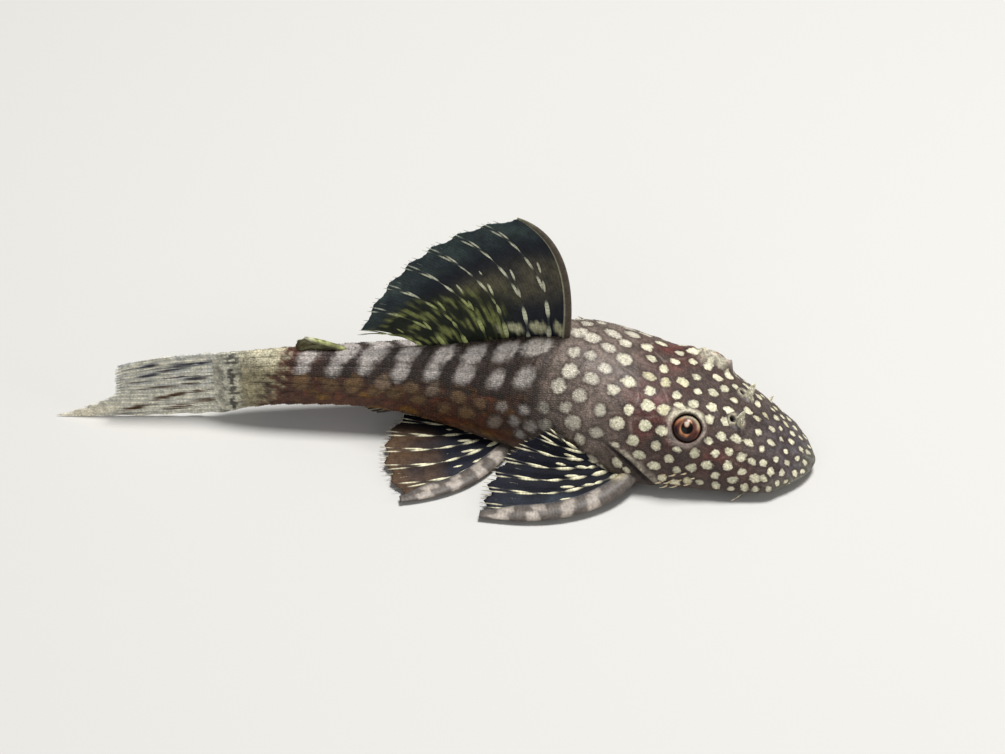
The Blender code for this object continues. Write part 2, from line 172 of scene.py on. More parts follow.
def forward_at(fraction):
    """The level direction toward the head at a place along the body."""
    angle = heading(fraction)
    return np.stack([np.cos(angle), np.sin(angle), np.zeros_like(angle)], axis=-1)


def spine_line(steps=400, reach=1.4):
    """The middle line in plan, as places and points, with the belly point over the origin."""
    places = np.linspace(0.0, reach, steps)
    angles = heading(places)
    back = np.stack([-np.cos(angles), -np.sin(angles)], axis=1)
    middle = (back[1:] + back[:-1]) * 0.5 * (places[1] - places[0])
    points = np.concatenate([[[0.0, 0.0]], np.cumsum(middle, axis=0)])
    origin = [np.interp(BELLY_AT, places, points[:, axis]) for axis in range(2)]
    return places, points - origin


SPINE_PLACES, SPINE_POINTS = spine_line()


def body_point(fraction, lateral, height):
    """Points in metres from places along the body, distances to the fish's left and heights."""
    fraction, lateral, height = np.broadcast_arrays(fraction, lateral, height)
    angle = heading(fraction)
    ahead = np.minimum(fraction, 0.0)
    x = np.interp(fraction, SPINE_PLACES, SPINE_POINTS[:, 0]) - ahead * np.cos(angle)
    y = np.interp(fraction, SPINE_PLACES, SPINE_POINTS[:, 1]) - ahead * np.sin(angle)
    x = x - np.sin(angle) * lateral
    y = y + np.cos(angle) * lateral
    return np.stack([x, y, height], axis=-1) * STANDARD_LENGTH


def eye_frame(side):
    """The eye's centre and the directions outward, up and forward that it is built on."""
    centre = body_point(EYE_AT, side * EYE_LATERAL, EYE_HEIGHT)
    outward = unit(body_point(EYE_AT - 0.15, side * (EYE_LATERAL + 0.60), EYE_HEIGHT + 0.66) - centre)
    up = unit(np.array((0.0, 0.0, 1.0)) - outward * outward[2])
    return centre, outward, up, np.cross(up, outward) * side


EYES = {side: eye_frame(side) for side in SIDES.values()}


def from_axis(points, axes):
    """Depth along the outward axis of an eye or nostril, and distance from it."""
    centre, outward = axes[:2]
    offset = points - centre
    depth = offset @ outward
    return depth, np.linalg.norm(offset - depth[..., None] * outward, axis=-1)


# The turn round the body runs from 0 at the belly to the belly again.
AT_RIGHT, AT_BACK, AT_LEFT, ROUND = 1.0, 2.0, 3.0, 4.0


def outline(fraction, turn):
    """Distance to the left and height of the body's outline, and the same for a unit circle."""
    root = np.sqrt(fraction)
    quarter = np.floor(turn)
    within = turn - quarter
    angle = (quarter + within * within * (3.0 - 2.0 * within)) * math.pi / 2.0
    aside, over = -np.sin(angle), -np.cos(angle)
    upper = over >= 0.0
    power = np.where(upper, CROWN(root), KEEL(root))
    widest = WIDEST(root)
    reach = np.where(upper, TOP(root) - widest, widest - BOTTOM(root))
    lateral = HALF_WIDTH(root) * signed_power(aside, power)
    height = widest + reach * signed_power(over, power)
    return lateral, np.maximum(height, 0.0), aside, over


def shell(fraction, turn):
    """The body's smooth surface, with the rims risen round the eyes."""
    fraction, turn = np.broadcast_arrays(np.asarray(fraction, float), np.asarray(turn, float))
    lateral, height, aside, over = outline(fraction, turn)
    points = body_point(fraction, lateral, height)
    spread = unit(body_point(fraction, aside, over) - body_point(fraction, 0.0, 0.0))
    for axes in EYES.values():
        depth, radius = from_axis(points, axes)
        rise = smooth(-0.3 * MM, 1.0 * MM, depth) * RIM_RISE * np.exp(-((radius / RIM_REACH) ** 3))
        points = points + spread * rise[..., None]
    return points


# The skin's rings run from the snout to the tail root, and its columns from the belly round.
SKIN_RINGS = 396
SKIN_COLUMNS = 216
DENSE_TURNS = np.linspace(0.0, ROUND, 721)
BELLY_WEIGHT = 0.42
HEAD_DENSITY = 1.30
TAIL_DENSITY = 0.80


def ring_places():
    """Places of the rings, evenly spaced over the back and sides and closer on the head."""
    places = np.linspace(math.sqrt(SNOUT_START), math.sqrt(SKIN_END), 4000) ** 2
    root = np.sqrt(places)
    over = np.stack([places, TOP(root)], axis=1)
    beside = np.stack([places, HALF_WIDTH(root)], axis=1)
    steps = sum(np.linalg.norm(np.diff(line, axis=0), axis=1) for line in (over, beside)) * 0.5
    middle = (places[1:] + places[:-1]) * 0.5
    density = HEAD_DENSITY + (1.0 - HEAD_DENSITY) * smooth(0.26, 0.34, middle)
    density = density + (TAIL_DENSITY - 1.0) * smooth(0.60, 0.75, middle)
    reach = np.concatenate([[0.0], np.cumsum(steps * density)])
    return np.interp(np.linspace(0.0, reach[-1], SKIN_RINGS), reach, places)


def around_table(places):
    """For each ring, distances round it from the belly, sampled at the dense turns."""
    points = shell(places[:, None], DENSE_TURNS[None, :])
    steps = np.linalg.norm(np.diff(points, axis=1), axis=2)
    return np.concatenate([np.zeros((len(places), 1)), np.cumsum(steps, axis=1)], axis=1)


RING_PLACES = ring_places()
AROUND = around_table(RING_PLACES)
BACK_TURN, RIGHT_TURN, LEFT_TURN = (
    int(turn / ROUND * (len(DENSE_TURNS) - 1)) for turn in (AT_BACK, AT_RIGHT, AT_LEFT)
)
FROM_BACK = np.abs(AROUND - AROUND[:, BACK_TURN][:, None])


def flank_table():
    """0 at the back, 1 at the widest level and 2 at the belly, by distance round the ring."""
    on_right = DENSE_TURNS[None, :] < AT_BACK
    wide = np.where(on_right, FROM_BACK[:, [RIGHT_TURN]], FROM_BACK[:, [LEFT_TURN]])
    end = np.where(on_right, FROM_BACK[:, [0]], FROM_BACK[:, [-1]])
    below = 1.0 + (FROM_BACK - wide) / np.maximum(end - wide, 1e-9)
    return np.where(FROM_BACK <= wide, FROM_BACK / np.maximum(wide, 1e-9), below)


FLANK = flank_table()
AROUND_SHARE = AROUND / AROUND[:, [-1]]


def look_up(table, fraction, turn):
    """A table's value at places along and turns round the body."""
    row = np.interp(fraction, RING_PLACES, np.arange(len(RING_PLACES)))
    column = np.clip(turn, 0.0, ROUND) / ROUND * (len(DENSE_TURNS) - 1)
    row_0 = np.clip(np.floor(row).astype(int), 0, len(RING_PLACES) - 2)
    column_0 = np.clip(np.floor(column).astype(int), 0, len(DENSE_TURNS) - 2)
    u, v = row - row_0, column - column_0
    low = table[row_0, column_0] * (1 - v) + table[row_0, column_0 + 1] * v
    high = table[row_0 + 1, column_0] * (1 - v) + table[row_0 + 1, column_0 + 1] * v
    return low * (1 - u) + high * u


def skin_turns():
    """The turn of each column on each ring, evenly spaced with the belly's columns further apart."""
    middle = (DENSE_TURNS[1:] + DENSE_TURNS[:-1]) * 0.5
    over = smooth(0.75, 1.05, middle) * fading(2.95, 3.25, middle)
    weight = BELLY_WEIGHT + (1.0 - BELLY_WEIGHT) * over
    turns = np.empty((SKIN_RINGS, SKIN_COLUMNS))
    for i in range(SKIN_RINGS):
        reach = np.concatenate([[0.0], np.cumsum(np.diff(AROUND[i]) * weight)])
        wanted = np.linspace(0.0, reach[-1], SKIN_COLUMNS + 1)[:-1]
        turns[i] = np.interp(wanted, reach, DENSE_TURNS)
    return turns


def normals_of(fraction, turn):
    """Outward directions of the smooth surface, by small steps along and round it."""
    step_f, step_t = 0.002, 0.012
    ahead = shell(np.maximum(fraction - step_f, SNOUT_START), turn)
    behind = shell(np.minimum(fraction + step_f, SKIN_END), turn)
    before = shell(fraction, np.mod(turn - step_t, ROUND))
    after = shell(fraction, np.mod(turn + step_t, ROUND))
    return unit(np.cross(after - before, behind - ahead))


def ripple(points, size, seed):
    """A smooth uneven field of about unit height, with waves of about the given size in metres."""
    draws = np.random.default_rng(seed)
    total = np.zeros(points.shape[:-1])
    for _ in range(7):
        direction = unit(draws.normal(size=3))
        wave = draws.uniform(0.7, 1.5) * TURN / size
        total += np.sin(points @ direction * wave + draws.uniform(0.0, TURN))
    return total / 3.0


def flat_ripple(first, second, size, seed):
    """The same field over two directions."""
    return ripple(np.stack([first, second, np.zeros(np.shape(first))], axis=-1), size, seed)


def tint(code):
    """The linear colour of a six-digit code."""
    parts = [int(code[i : i + 2], 16) / 255.0 for i in (0, 2, 4)]
    return np.array([p / 12.92 if p <= 0.04045 else ((p + 0.055) / 1.055) ** 2.4 for p in parts])


def plain(code, like):
    """One colour at each point of an array."""
    return np.broadcast_to(tint(code), np.shape(like) + (3,))


def toward(colour, goal, weight):
    """A colour moved toward another, a code or linear values, by a weight at each point."""
    goal = tint(goal) if isinstance(goal, str) else goal
    weight = np.asarray(weight, float)[..., None]
    return colour * (1.0 - weight) + goal * weight


def painted(colour, *coats):
    """A colour under coats of others, each with its weight at each point."""
    for goal, weight in coats:
        colour = toward(colour, goal, weight)
    return colour


def surface_at(fraction, turn):
    """All that shapes and colours of the skin need to know about points on it."""
    fraction, turn = np.broadcast_arrays(np.asarray(fraction, float), np.asarray(turn, float))
    point = shell(fraction, turn)
    lateral, height, _, _ = outline(fraction, turn)
    return SimpleNamespace(
        fraction=fraction,
        turn=turn,
        point=point,
        normal=normals_of(fraction, turn),
        lateral=lateral,
        height=height,
        side=np.where(turn < AT_BACK, -1.0, 1.0),
        flank=look_up(FLANK, fraction, turn),
        from_back=look_up(FROM_BACK, fraction, turn),
        share=look_up(AROUND_SHARE, fraction, turn),
    )


# Scutes in rows along each side, slanting back as they go down.
SCUTE_FROM = 0.350
SCUTE_TO = 0.975
SCUTE_PITCH = 0.02675
SCUTE_SLANT = 0.062
SCUTE_ROUND = 0.0060
SCUTE_RISE = 0.110
SCUTE_ROWS = np.array((0.0, 0.17, 0.40, 0.63, 0.84, 1.10, 1.55, 2.0))
SCUTE_STAGGER = np.array((0.0, 0.0, 0.0, 0.0, 0.5, 0.1, 0.6))

# Bones of the head as place and share of the way down the side; the ones off the middle are paired.
HEAD_BONES = (
    (0.305, 0.00),
    (0.235, 0.06),
    (0.180, 0.10),
    (0.318, 0.34),
    (0.268, 0.30),
    (0.150, 0.32),
    (0.250, 0.62),
    (0.310, 0.66),
    (0.190, 0.72),
    (0.225, 0.90),
    (0.130, 0.62),
    (0.150, 0.90),
)


def scute_place(s):
    """Share across and along the scute that a point is in, and how far scutes show there."""
    row = np.clip(np.searchsorted(SCUTE_ROWS, s.flank, side="right") - 1, 0, len(SCUTE_ROWS) - 2)
    low, high = SCUTE_ROWS[row], SCUTE_ROWS[row + 1]
    across = (s.flank - low) / (high - low)
    rounded = SCUTE_ROUND * (1.0 - (2.0 * across - 1.0) ** 2)
    slanted = s.fraction - SCUTE_SLANT * np.minimum(s.flank, 1.3) - rounded
    along = np.mod(slanted / SCUTE_PITCH + SCUTE_STAGGER[row], 1.0)
    lowest = 1.12 + 0.9 * smooth(0.62, 0.72, s.fraction)
    shown = smooth(SCUTE_FROM, SCUTE_FROM + 0.05, s.fraction - 0.05 * s.flank)
    shown = shown * fading(SCUTE_TO - 0.03, SCUTE_TO, s.fraction)
    shown = shown * fading(lowest - 0.05, lowest + 0.05, s.flank)
    edge = np.minimum(across, 1.0 - across) * (high - low)
    return across, along, edge, shown


def slash_share(s):
    """1 on the dark beaded lines between the columns of blotches on the hind flanks."""
    rounded = SCUTE_ROUND * (1.0 - (s.flank * 2.2 - 0.6) ** 2)
    slanted = s.fraction - SCUTE_SLANT * s.flank - 0.5 * rounded
    wander = 0.05 * ripple(s.point, 2.2 * MM, 21)
    away = np.mod((slanted - BLOTCH_FROM) / BLOTCH_PITCH + wander + 0.5, 1.0) - 0.5
    beads = 0.70 + 0.30 * np.sin(s.from_back * TURN / (0.42 * MM))
    line = fading(0.05, 0.16, np.abs(away)) * beads
    shown = smooth(0.40, 0.45, s.fraction) * fading(0.84, 0.88, s.fraction)
    return line * shown * fading(0.52, 0.72, s.flank)


def bone_seam(s):
    """1 on the seams between the bones of the head and 0 inside them."""
    warp = 0.006 * ripple(s.point, 5.0 * MM, 5)
    best = np.full(s.fraction.shape, 9.0)
    second = best.copy()
    for place, share in HEAD_BONES:
        away = np.hypot(s.fraction + warp - place, (s.flank - share) * 0.16)
        second = np.where(away < best, best, np.minimum(second, away))
        best = np.minimum(best, away)
    shown = smooth(0.09, 0.13, s.fraction) * fading(0.34, 0.37, s.fraction)
    shown = shown * fading(0.95, 1.05, s.flank)
    return fading(0.0, 0.0045, second - best) * shown


# The gill cover's hind edge, as place and height, from its upper to its lower end.
GILL_TOP = (0.338, 0.104)
GILL_BEND = (0.292, 0.074)
GILL_LOW = (0.236, 0.020)


def behind_gill(s):
    """Distance in millimetres behind the gill cover's edge, and how far the edge shows there."""
    line = monotone_curve(
        [GILL_LOW[1], GILL_BEND[1], GILL_TOP[1]],
        [GILL_LOW[0], GILL_BEND[0], GILL_TOP[0]],
    )
    height = np.clip(s.height, GILL_LOW[1], GILL_TOP[1])
    slope = 0.72
    distance = (s.fraction - line(height)) * STANDARD_LENGTH / MM * slope
    shown = smooth(GILL_LOW[1] - 0.004, GILL_LOW[1] + 0.016, s.height)
    shown = shown * fading(GILL_TOP[1] - 0.028, GILL_TOP[1], s.height)
    shown = shown * fading(1.15, 1.3, s.flank)
    return distance, shown


def relief(s):
    """Height in millimetres of the skin's own shapes over the smooth body."""
    across, along, edge, shown = scute_place(s)
    overlap = SCUTE_RISE * (along - smooth(0.88, 1.0, along))
    bulge = 0.05 * np.sin(math.pi * across)
    groove = -0.05 * np.exp(-((edge / 0.018) ** 2))
    total = shown * (overlap + bulge + groove)
    total = total - 0.05 * bone_seam(s)
    distance, gill = behind_gill(s)
    lip = 0.13 * bell(distance, -0.30, 0.30)
    cleft = -0.40 * bell(distance, 0.20, 0.20)
    total = total + gill * (lip + cleft)
    cheek = bell(s.fraction, 0.175, 0.045) * bell(s.flank, 0.80, 0.16)
    hollow = bell(s.fraction, 0.165, 0.030) * bell(s.flank, 0.52, 0.10)
    between = bell(s.fraction, 0.205, 0.045) * bell(s.flank, 0.0, 0.16)
    crest = bell(s.fraction, 0.330, 0.055) * bell(s.flank, 0.0, 0.07)
    total = total + 0.16 * cheek - 0.14 * hollow - 0.20 * between + 0.14 * crest
    head = fading(0.30, 0.40, s.fraction)
    total = total + 0.045 * head * ripple(s.point, 3.2 * MM, 11)
    total = total + 0.020 * head * ripple(s.point, 1.1 * MM, 12)
    margin = bell(s.flank, 0.93, 0.12) * fading(0.05, 0.10, s.fraction)
    return total + 0.10 * margin * smooth(0.004, 0.020, s.fraction)


# Spots: gaps between neighbours in millimetres at places along the body.
SPOT_GAPS = monotone_curve(
    (0.0, 0.05, 0.10, 0.18, 0.26, 0.34, 0.44, 0.56, 0.70, 0.90),
    (1.12, 1.20, 1.36, 1.56, 1.78, 1.98, 2.10, 2.30, 2.60, 2.80),
)
SPOT_FILL = monotone_curve(
    (0.0, 0.10, 0.20, 0.32, 0.45, 0.60, 0.90),
    (0.27, 0.30, 0.31, 0.33, 0.36, 0.38, 0.38),
)

# Rows of blotches on the hind flanks: flank, offset in columns, half width in mm, length over width.
BLOTCH_FROM = 0.4387
BLOTCH_TO = 0.880
BLOTCH_PITCH = 0.0535
BLOTCH_ROWS = (
    (0.15, 0.50, 1.16, 1.50),
    (0.43, 0.50, 0.98, 1.32),
)
SPOTS_END = 0.895
SPOTS_LOWEST = 1.04
SPOTS_OFF_EYE = 1.95 * MM
SPOTS_APART = 0.88
SPOT_EVENINGS = 4
SPOT_DRAWS = 11000
SPOT_SEED = 31


def spot_gap(s):
    """Wanted gap between spots in metres: wide on the hind flanks and closer low on the sides."""
    low = smooth(0.50, 0.70, s.flank) * smooth(0.38, 0.46, s.fraction)
    return SPOT_GAPS(s.fraction) * (1.0 - 0.14 * low) * MM


def scatter_spots(skin):
    """Spot places spread evenly over the upper skin, and their sizes, slants and brightness."""
    draws = np.random.default_rng(SPOT_SEED)
    upper = (skin.flank < SPOTS_LOWEST) & (skin.fraction < SPOTS_END) & (skin.fraction > 0.008)
    upper &= (skin.fraction < BLOTCH_FROM - 0.025 + 0.06 * skin.flank) | (skin.flank > 0.60)
    for axes in EYES.values():
        depth, radius = from_axis(skin.point, axes)
        upper &= ~((depth > 0.0) & (radius < SPOTS_OFF_EYE))
    area = np.linalg.norm(
        np.cross(np.gradient(skin.point, axis=0), np.gradient(skin.point, axis=1)), axis=2
    )
    odds = (area * upper / spot_gap(skin) ** 2).ravel()
    chosen = draws.choice(odds.size, SPOT_DRAWS, replace=False, p=odds / odds.sum())
    points = skin.point.reshape(-1, 3)[chosen]
    gaps = spot_gap(skin).ravel()[chosen]
    kept = []
    for k in range(SPOT_DRAWS):
        away = np.linalg.norm(points[kept] - points[k], axis=1) if kept else np.ones(1)
        if not kept or (away > SPOTS_APART * gaps[k]).all():
            kept.append(k)
    for _ in range(SPOT_EVENINGS):
        away = np.linalg.norm(points[:, None] - points[kept][None], axis=2) / gaps[kept][None]
        owner = away.argmin(axis=1)
        moved = []
        for n in range(len(kept)):
            mine = np.flatnonzero(owner == n)
            middle = points[mine].mean(axis=0)
            moved.append(mine[np.linalg.norm(points[mine] - middle, axis=1).argmin()])
        kept = moved
    index = chosen[kept]
    radius = gaps[kept] * SPOT_FILL(skin.fraction.ravel()[index])
    stretch = draws.uniform(0.88, 1.26, len(index))
    nearest, sizes, lengths = blotch_columns(skin, draws)
    index = np.concatenate([index, nearest])
    radius = np.concatenate([radius * draws.uniform(0.78, 1.18, len(radius)), sizes])
    stretch = np.concatenate([stretch, lengths])
    count = len(index)
    return SimpleNamespace(
        point=skin.point.reshape(-1, 3)[index],
        fraction=skin.fraction.ravel()[index],
        flank=skin.flank.ravel()[index],
        normal=skin.normal.reshape(-1, 3)[index],
        radius=radius,
        stretch=stretch,
        slant=draws.normal(0.0, 0.5, count),
        bright=draws.uniform(0.0, 1.0, count),
        warm=draws.uniform(0.0, 1.0, count),
    )


def blotch_columns(skin, draws):
    """The skin's grid points nearest to the hind blotches, with their half widths and lengths."""
    nearest, sizes, lengths = [], [], []
    for flank, offset, half, length in BLOTCH_ROWS:
        count = int((BLOTCH_TO - BLOTCH_FROM) / BLOTCH_PITCH)
        for side in SIDES.values():
            for k in range(count):
                place = BLOTCH_FROM + BLOTCH_PITCH * (k + offset + draws.uniform(-0.12, 0.12))
                place += SCUTE_SLANT * flank
                down = flank + draws.uniform(-0.04, 0.04)
                away = np.abs(skin.fraction - place) * 12.0 + np.abs(skin.flank - down)
                nearest.append(np.where(skin.side == side, away, 9.0).argmin())
                shrink = 1.0 - 0.15 * smooth(0.70, 0.85, place)
                sizes.append(half * MM * shrink * draws.uniform(0.85, 1.12))
                lengths.append(1.0 + (length - 1.0) * draws.uniform(0.6, 1.2))
    return np.array(nearest), np.array(sizes), np.array(lengths)


def spot_field(points, spots):
    """Signed distance in millimetres to the nearest spot's edge, above 0 inside, and its number."""
    shape = points.shape[:-1]
    flat = points.reshape(-1, 3)
    field = np.full(len(flat), -2.0)
    owner = np.zeros(len(flat), int)
    for k in range(len(spots.fraction)):
        centre, normal = spots.point[k], spots.normal[k]
        back = -forward_at(spots.fraction[k])
        body = smooth(0.40, 0.52, spots.fraction[k])
        down = -np.cross(np.cross(normal, (0.0, 0.0, 1.0)), normal)
        lean = unit(down + back * (0.55 if body > 0.0 else 0.0))
        along = unit(back + 0.35 * spots.slant[k] * down) * (1.0 - body) + lean * body
        along = unit(along - normal * (along @ normal))
        across = np.cross(normal, along)
        stretch = spots.stretch[k] * (1.0 + 0.10 * body)
        reach = spots.radius[k] + 2.0 * MM
        near = np.flatnonzero(np.abs(flat - centre).max(axis=1) < reach)
        offset = flat[near] - centre
        a, b, c = offset @ along, offset @ across, offset @ normal
        away = np.sqrt((a / stretch) ** 2 + (b * stretch**0.4) ** 2 + c**2)
        value = (spots.radius[k] - away) / MM
        better = value > field[near]
        field[near[better]] = value[better]
        owner[near[better]] = k
    return field.reshape(shape), owner.reshape(shape)


def eye_radius(points):
    """Distance from the nearer eye's axis, large away from the eyes."""
    best = np.full(points.shape[:-1], 1.0)
    for axes in EYES.values():
        depth, radius = from_axis(points, axes)
        best = np.where(depth > -0.5 * MM, np.minimum(best, radius), best)
    return best


def ground_colour(s):
    """The skin's colour between the spots."""
    f, flank = s.fraction, s.flank
    red = bell(f, 0.258, 0.055) * bell(flank, 0.42, 0.36)
    red = np.clip(red + 0.7 * bell(f, 0.15, 0.05) * bell(flank, 0.72, 0.18), 0.0, 1.0)
    mottled = 0.8 * smooth(0.30, 0.9, ripple(s.point, 2.2 * MM, 4))
    nape = smooth(0.27, 0.36, f) * fading(0.43, 0.50, f)
    rust = smooth(0.56, 0.76, flank + 0.10 * ripple(s.point, 2.0 * MM, 6)) * smooth(0.46, 0.56, f)
    ochre = smooth(0.15, 0.9, ripple(s.point, 2.4 * MM, 8))
    speckle = 0.014 * ripple(s.point, 1.4 * MM, 9) + 0.006 * ripple(s.point, 0.5 * MM, 10)
    pale_root = smooth(0.885, 0.925, f + speckle - 0.026 * (flank - 0.4))
    lines = flat_ripple(f * 0.03, s.from_back, 0.55 * MM, 14)
    belly = smooth(1.10, 1.40, flank)
    margin = bell(flank, 0.98, 0.13) * fading(0.030, 0.085, f)
    margin = np.maximum(margin, 0.6 * fading(0.006, 0.030, f))
    seam = bone_seam(s) * smooth(0.20, 0.26, f)
    distance, gill = behind_gill(s)
    broken = 0.75 + 0.25 * ripple(s.point, 0.9 * MM, 17)
    # Painted shade low behind the head, where the pectoral fin's root meets the body.
    under = bell(f, 0.275, 0.030) * bell(s.height, 0.030, 0.022)
    radius = eye_radius(s.point)
    lid = tint("a9998d") * (0.84 + 0.22 * ripple(s.point, 0.8 * MM, 19))[..., None]
    colour = painted(
        plain("4b3d36", f),
        ("504a4c", fading(0.04, 0.15, f + 0.05 * flank)),
        ("65302a", red * (0.65 + 0.35 * ripple(s.point, 3.0 * MM, 3))),
        ("3a2f2c", mottled * fading(0.3, 0.4, f)),
        ("786a60", 0.85 * nape),
        ("35271f", smooth(0.42, 0.52, f)),
        ("5b2f16", 0.9 * rust),
        ("7c5716", 0.8 * rust * ochre),
        ("4e2a1a", 0.9 * smooth(0.80, 0.87, f - 0.02 * flank)),
        ("a79c7a", pale_root),
        ("a9a58a", 0.8 * pale_root * smooth(0.955, 0.985, f + speckle)),
        ("b9b39a", 0.7 * pale_root * fading(0.25, 0.60, flank)),
        ("d2cfbd", 0.8 * smooth(0.965, 0.985, f)),
        ("2a2822", 0.9 * bell(f, 0.986, 0.020) * smooth(-0.30, 0.30, lines)),
        ("8f7f6c", belly * fading(0.50, 0.66, f)),
        ("80806f", 0.85 * margin),
        ("93857a", 0.40 * seam),
        ("1c1310", 0.80 * slash_share(s)),
        ("b9b09d", 0.9 * gill * broken * bell(distance, -0.46, 0.40)),
        # painted shade in the cleft behind the gill cover's edge
        ("1c1411", 0.95 * gill * bell(distance, 0.26, 0.26)),
        # painted shade at the pectoral fin's root
        ("2a1d18", 0.6 * under),
        (lid, 0.85 * bell(radius, 1.88 * MM, 0.24 * MM)),
    )
    for axes in EYES.values():
        depth, away = from_axis(s.point, axes)
        above = ((s.point - axes[0]) @ axes[2]) / MM
        brow = bell(away, 1.95 * MM, 0.45 * MM) * smooth(0.3, 1.5, above) * (depth > 0.0)
        colour = toward(colour, "cfc8ae", 0.8 * brow)
    return colour


def spot_colour(spots, owner):
    """The colour that each point has where it is inside a spot."""
    f, flank = spots.fraction, spots.flank
    rust = smooth(0.55, 0.75, flank) * smooth(0.50, 0.58, f)
    tone = painted(
        plain("ece4c4", f),
        ("c9cfb2", 0.35 * spots.warm),
        ("dccb98", 0.5 * smooth(0.6, 1.0, spots.warm)),
        ("ccc4b2", smooth(0.27, 0.36, f)),
        ("b3aaa3", smooth(0.42, 0.50, f)),
        ("73501d", 0.92 * rust),
    )
    tone = tone * (0.76 + 0.26 * spots.bright)[:, None]
    return tone[owner]


def spot_softness(s):
    """Half width in millimetres of the spots' soft edge."""
    soft = 0.095 + 0.095 * smooth(0.26, 0.38, s.fraction) + 0.22 * smooth(0.40, 0.50, s.fraction)
    return soft - 0.10 * smooth(0.42, 0.54, s.fraction) * smooth(0.5, 0.7, s.flank)


def skin_values(s, spots):
    """The values that the skin's and the coat's materials read at each point."""
    field, owner = spot_field(s.point, spots)
    _, along, edge, shown = scute_place(s)
    # Painted shade on the scutes: darker at each hind edge, where a scute steps down onto the next, and in
    # the grooves between the rows.
    crease = shown * np.maximum(smooth(0.80, 0.93, along), 0.8 * np.exp(-((edge / 0.022) ** 2)))
    crease = crease * (0.55 + 0.45 * smooth(0.45, 0.60, s.flank))
    distance, gill = behind_gill(s)
    field = field - 1.2 * gill * bell(distance, 0.1, 0.50)
    field = field - 0.35 * slash_share(s)
    field = np.where(s.flank > 1.02, field - 3.0 * smooth(1.02, 1.15, s.flank), field)
    margin = bell(s.flank, 1.02, 0.07) * fading(0.02, 0.05, s.fraction)
    return {
        "ground": ground_colour(s),
        "tone": spot_colour(spots, owner),
        "field": field - 0.5 * margin,
        "soft": spot_softness(s),
        "crease": crease,
        "striped": shown * (0.35 + 0.65 * smooth(0.35, 0.60, s.flank)),
        "lane": s.from_back / MM,
        "bony": fading(1.0, 1.15, s.flank) * smooth(0.02, 0.06, s.fraction),
    }


# The mesh pieces.


def grid_quads(rows, columns, wrap=False):
    """Faces of a grid of points, row by row."""
    i, j = np.meshgrid(np.arange(rows - 1), np.arange(columns if wrap else columns - 1), indexing="ij")
    after = (j + 1) % columns
    return np.stack(
        [i * columns + j, i * columns + after, (i + 1) * columns + after, (i + 1) * columns + j],
        axis=-1,
    ).reshape(-1, 4)


class Shape:
    """Points, faces and values gathered piece by piece into one mesh."""

    def __init__(self):
        self.points = []
        self.quads = []
        self.tris = []
        self.quad_uvs = []
        self.tri_uvs = []
        self.values = {}
        self.count = 0

    def add(self, points, quads=None, tris=None, values=None, uv=None, quad_uv=None, tri_uv=None):
        """Adds a part and returns the number of its first point."""
        points = np.asarray(points, float).reshape(-1, 3)
        start = self.count
        quads = np.zeros((0, 4), int) if quads is None else np.asarray(quads, int)
        tris = np.zeros((0, 3), int) if tris is None else np.asarray(tris, int)
        uv = np.zeros((len(points), 2)) if uv is None else np.asarray(uv, float)
        self.points.append(points)
        self.quads.append(quads + start)
        self.tris.append(tris + start)
        self.quad_uvs.append(uv[quads] if quad_uv is None else quad_uv)
        self.tri_uvs.append(uv[tris] if tri_uv is None else tri_uv)
        for name, value in (values or {}).items():
            self.values.setdefault(name, []).append(np.asarray(value, float))
        self.count += len(points)
        return start

    def build(self, name, material, uv_name=None):
        """Makes the object, with the gathered values as attributes of its points."""
        points = np.concatenate(self.points)
        quads = np.concatenate(self.quads)
        tris = np.concatenate(self.tris)
        mesh = bpy.data.meshes.new(name)
        mesh.vertices.add(len(points))
        mesh.vertices.foreach_set("co", points.astype(np.float32).ravel())
        loops = np.concatenate([quads.ravel(), tris.ravel()]).astype(np.int32)
        starts = np.concatenate([np.arange(len(quads)) * 4, len(quads) * 4 + np.arange(len(tris)) * 3])
        mesh.loops.add(len(loops))
        mesh.loops.foreach_set("vertex_index", loops)
        mesh.polygons.add(len(starts))
        mesh.polygons.foreach_set("loop_start", starts.astype(np.int32))
        mesh.update(calc_edges=True)
        if uv_name:
            layer = mesh.uv_layers.new(name=uv_name)
            corners = [np.concatenate(uvs).reshape(-1, 2) for uvs in (self.quad_uvs, self.tri_uvs)]
            layer.data.foreach_set("uv", np.concatenate(corners).astype(np.float32).ravel())
        for value_name, parts in self.values.items():
            data = np.concatenate(parts)
            if data.ndim == 2:
                layer = mesh.attributes.new(value_name, "FLOAT_COLOR", "POINT")
                full = np.concatenate([data, np.ones((len(data), 1))], axis=1)
                layer.data.foreach_set("color", full.astype(np.float32).ravel())
            else:
                layer = mesh.attributes.new(value_name, "FLOAT", "POINT")
                layer.data.foreach_set("value", data.astype(np.float32))
        mesh.validate()
        mesh.shade_smooth()
        mesh.materials.append(material)
        obj = bpy.data.objects.new(name, mesh)
        bpy.context.scene.collection.objects.link(obj)
        return obj


def settle(obj, slot, *nodes):
    """Makes a piece ride on the body and stand for its nodes; the slot is not used."""
    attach(obj, "root")
    if nodes:
        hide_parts(*nodes)


def outward_quads(points, quads):
    """The quads wound so that a closed shape's faces point outward."""
    a, b, c, d = (points[quads[:, k]] for k in range(4))
    volume = (a * np.cross(b, c)).sum() + (a * np.cross(c, d)).sum()
    return quads if volume > 0.0 else quads[:, ::-1]


# Fine round patches of the skin, set in where the grid is cut open.
EYE_HOLE = 2.75 * MM
EYE_OPENING = 1.42 * MM
EYE_PATCH_RINGS = 24
NOSTRIL_HOLE = 1.45 * MM
NOSTRIL_CENTRE = 0.03 * MM
NOSTRIL_DEPTH = 1.5 * MM
NOSTRIL_PATCH_RINGS = 22


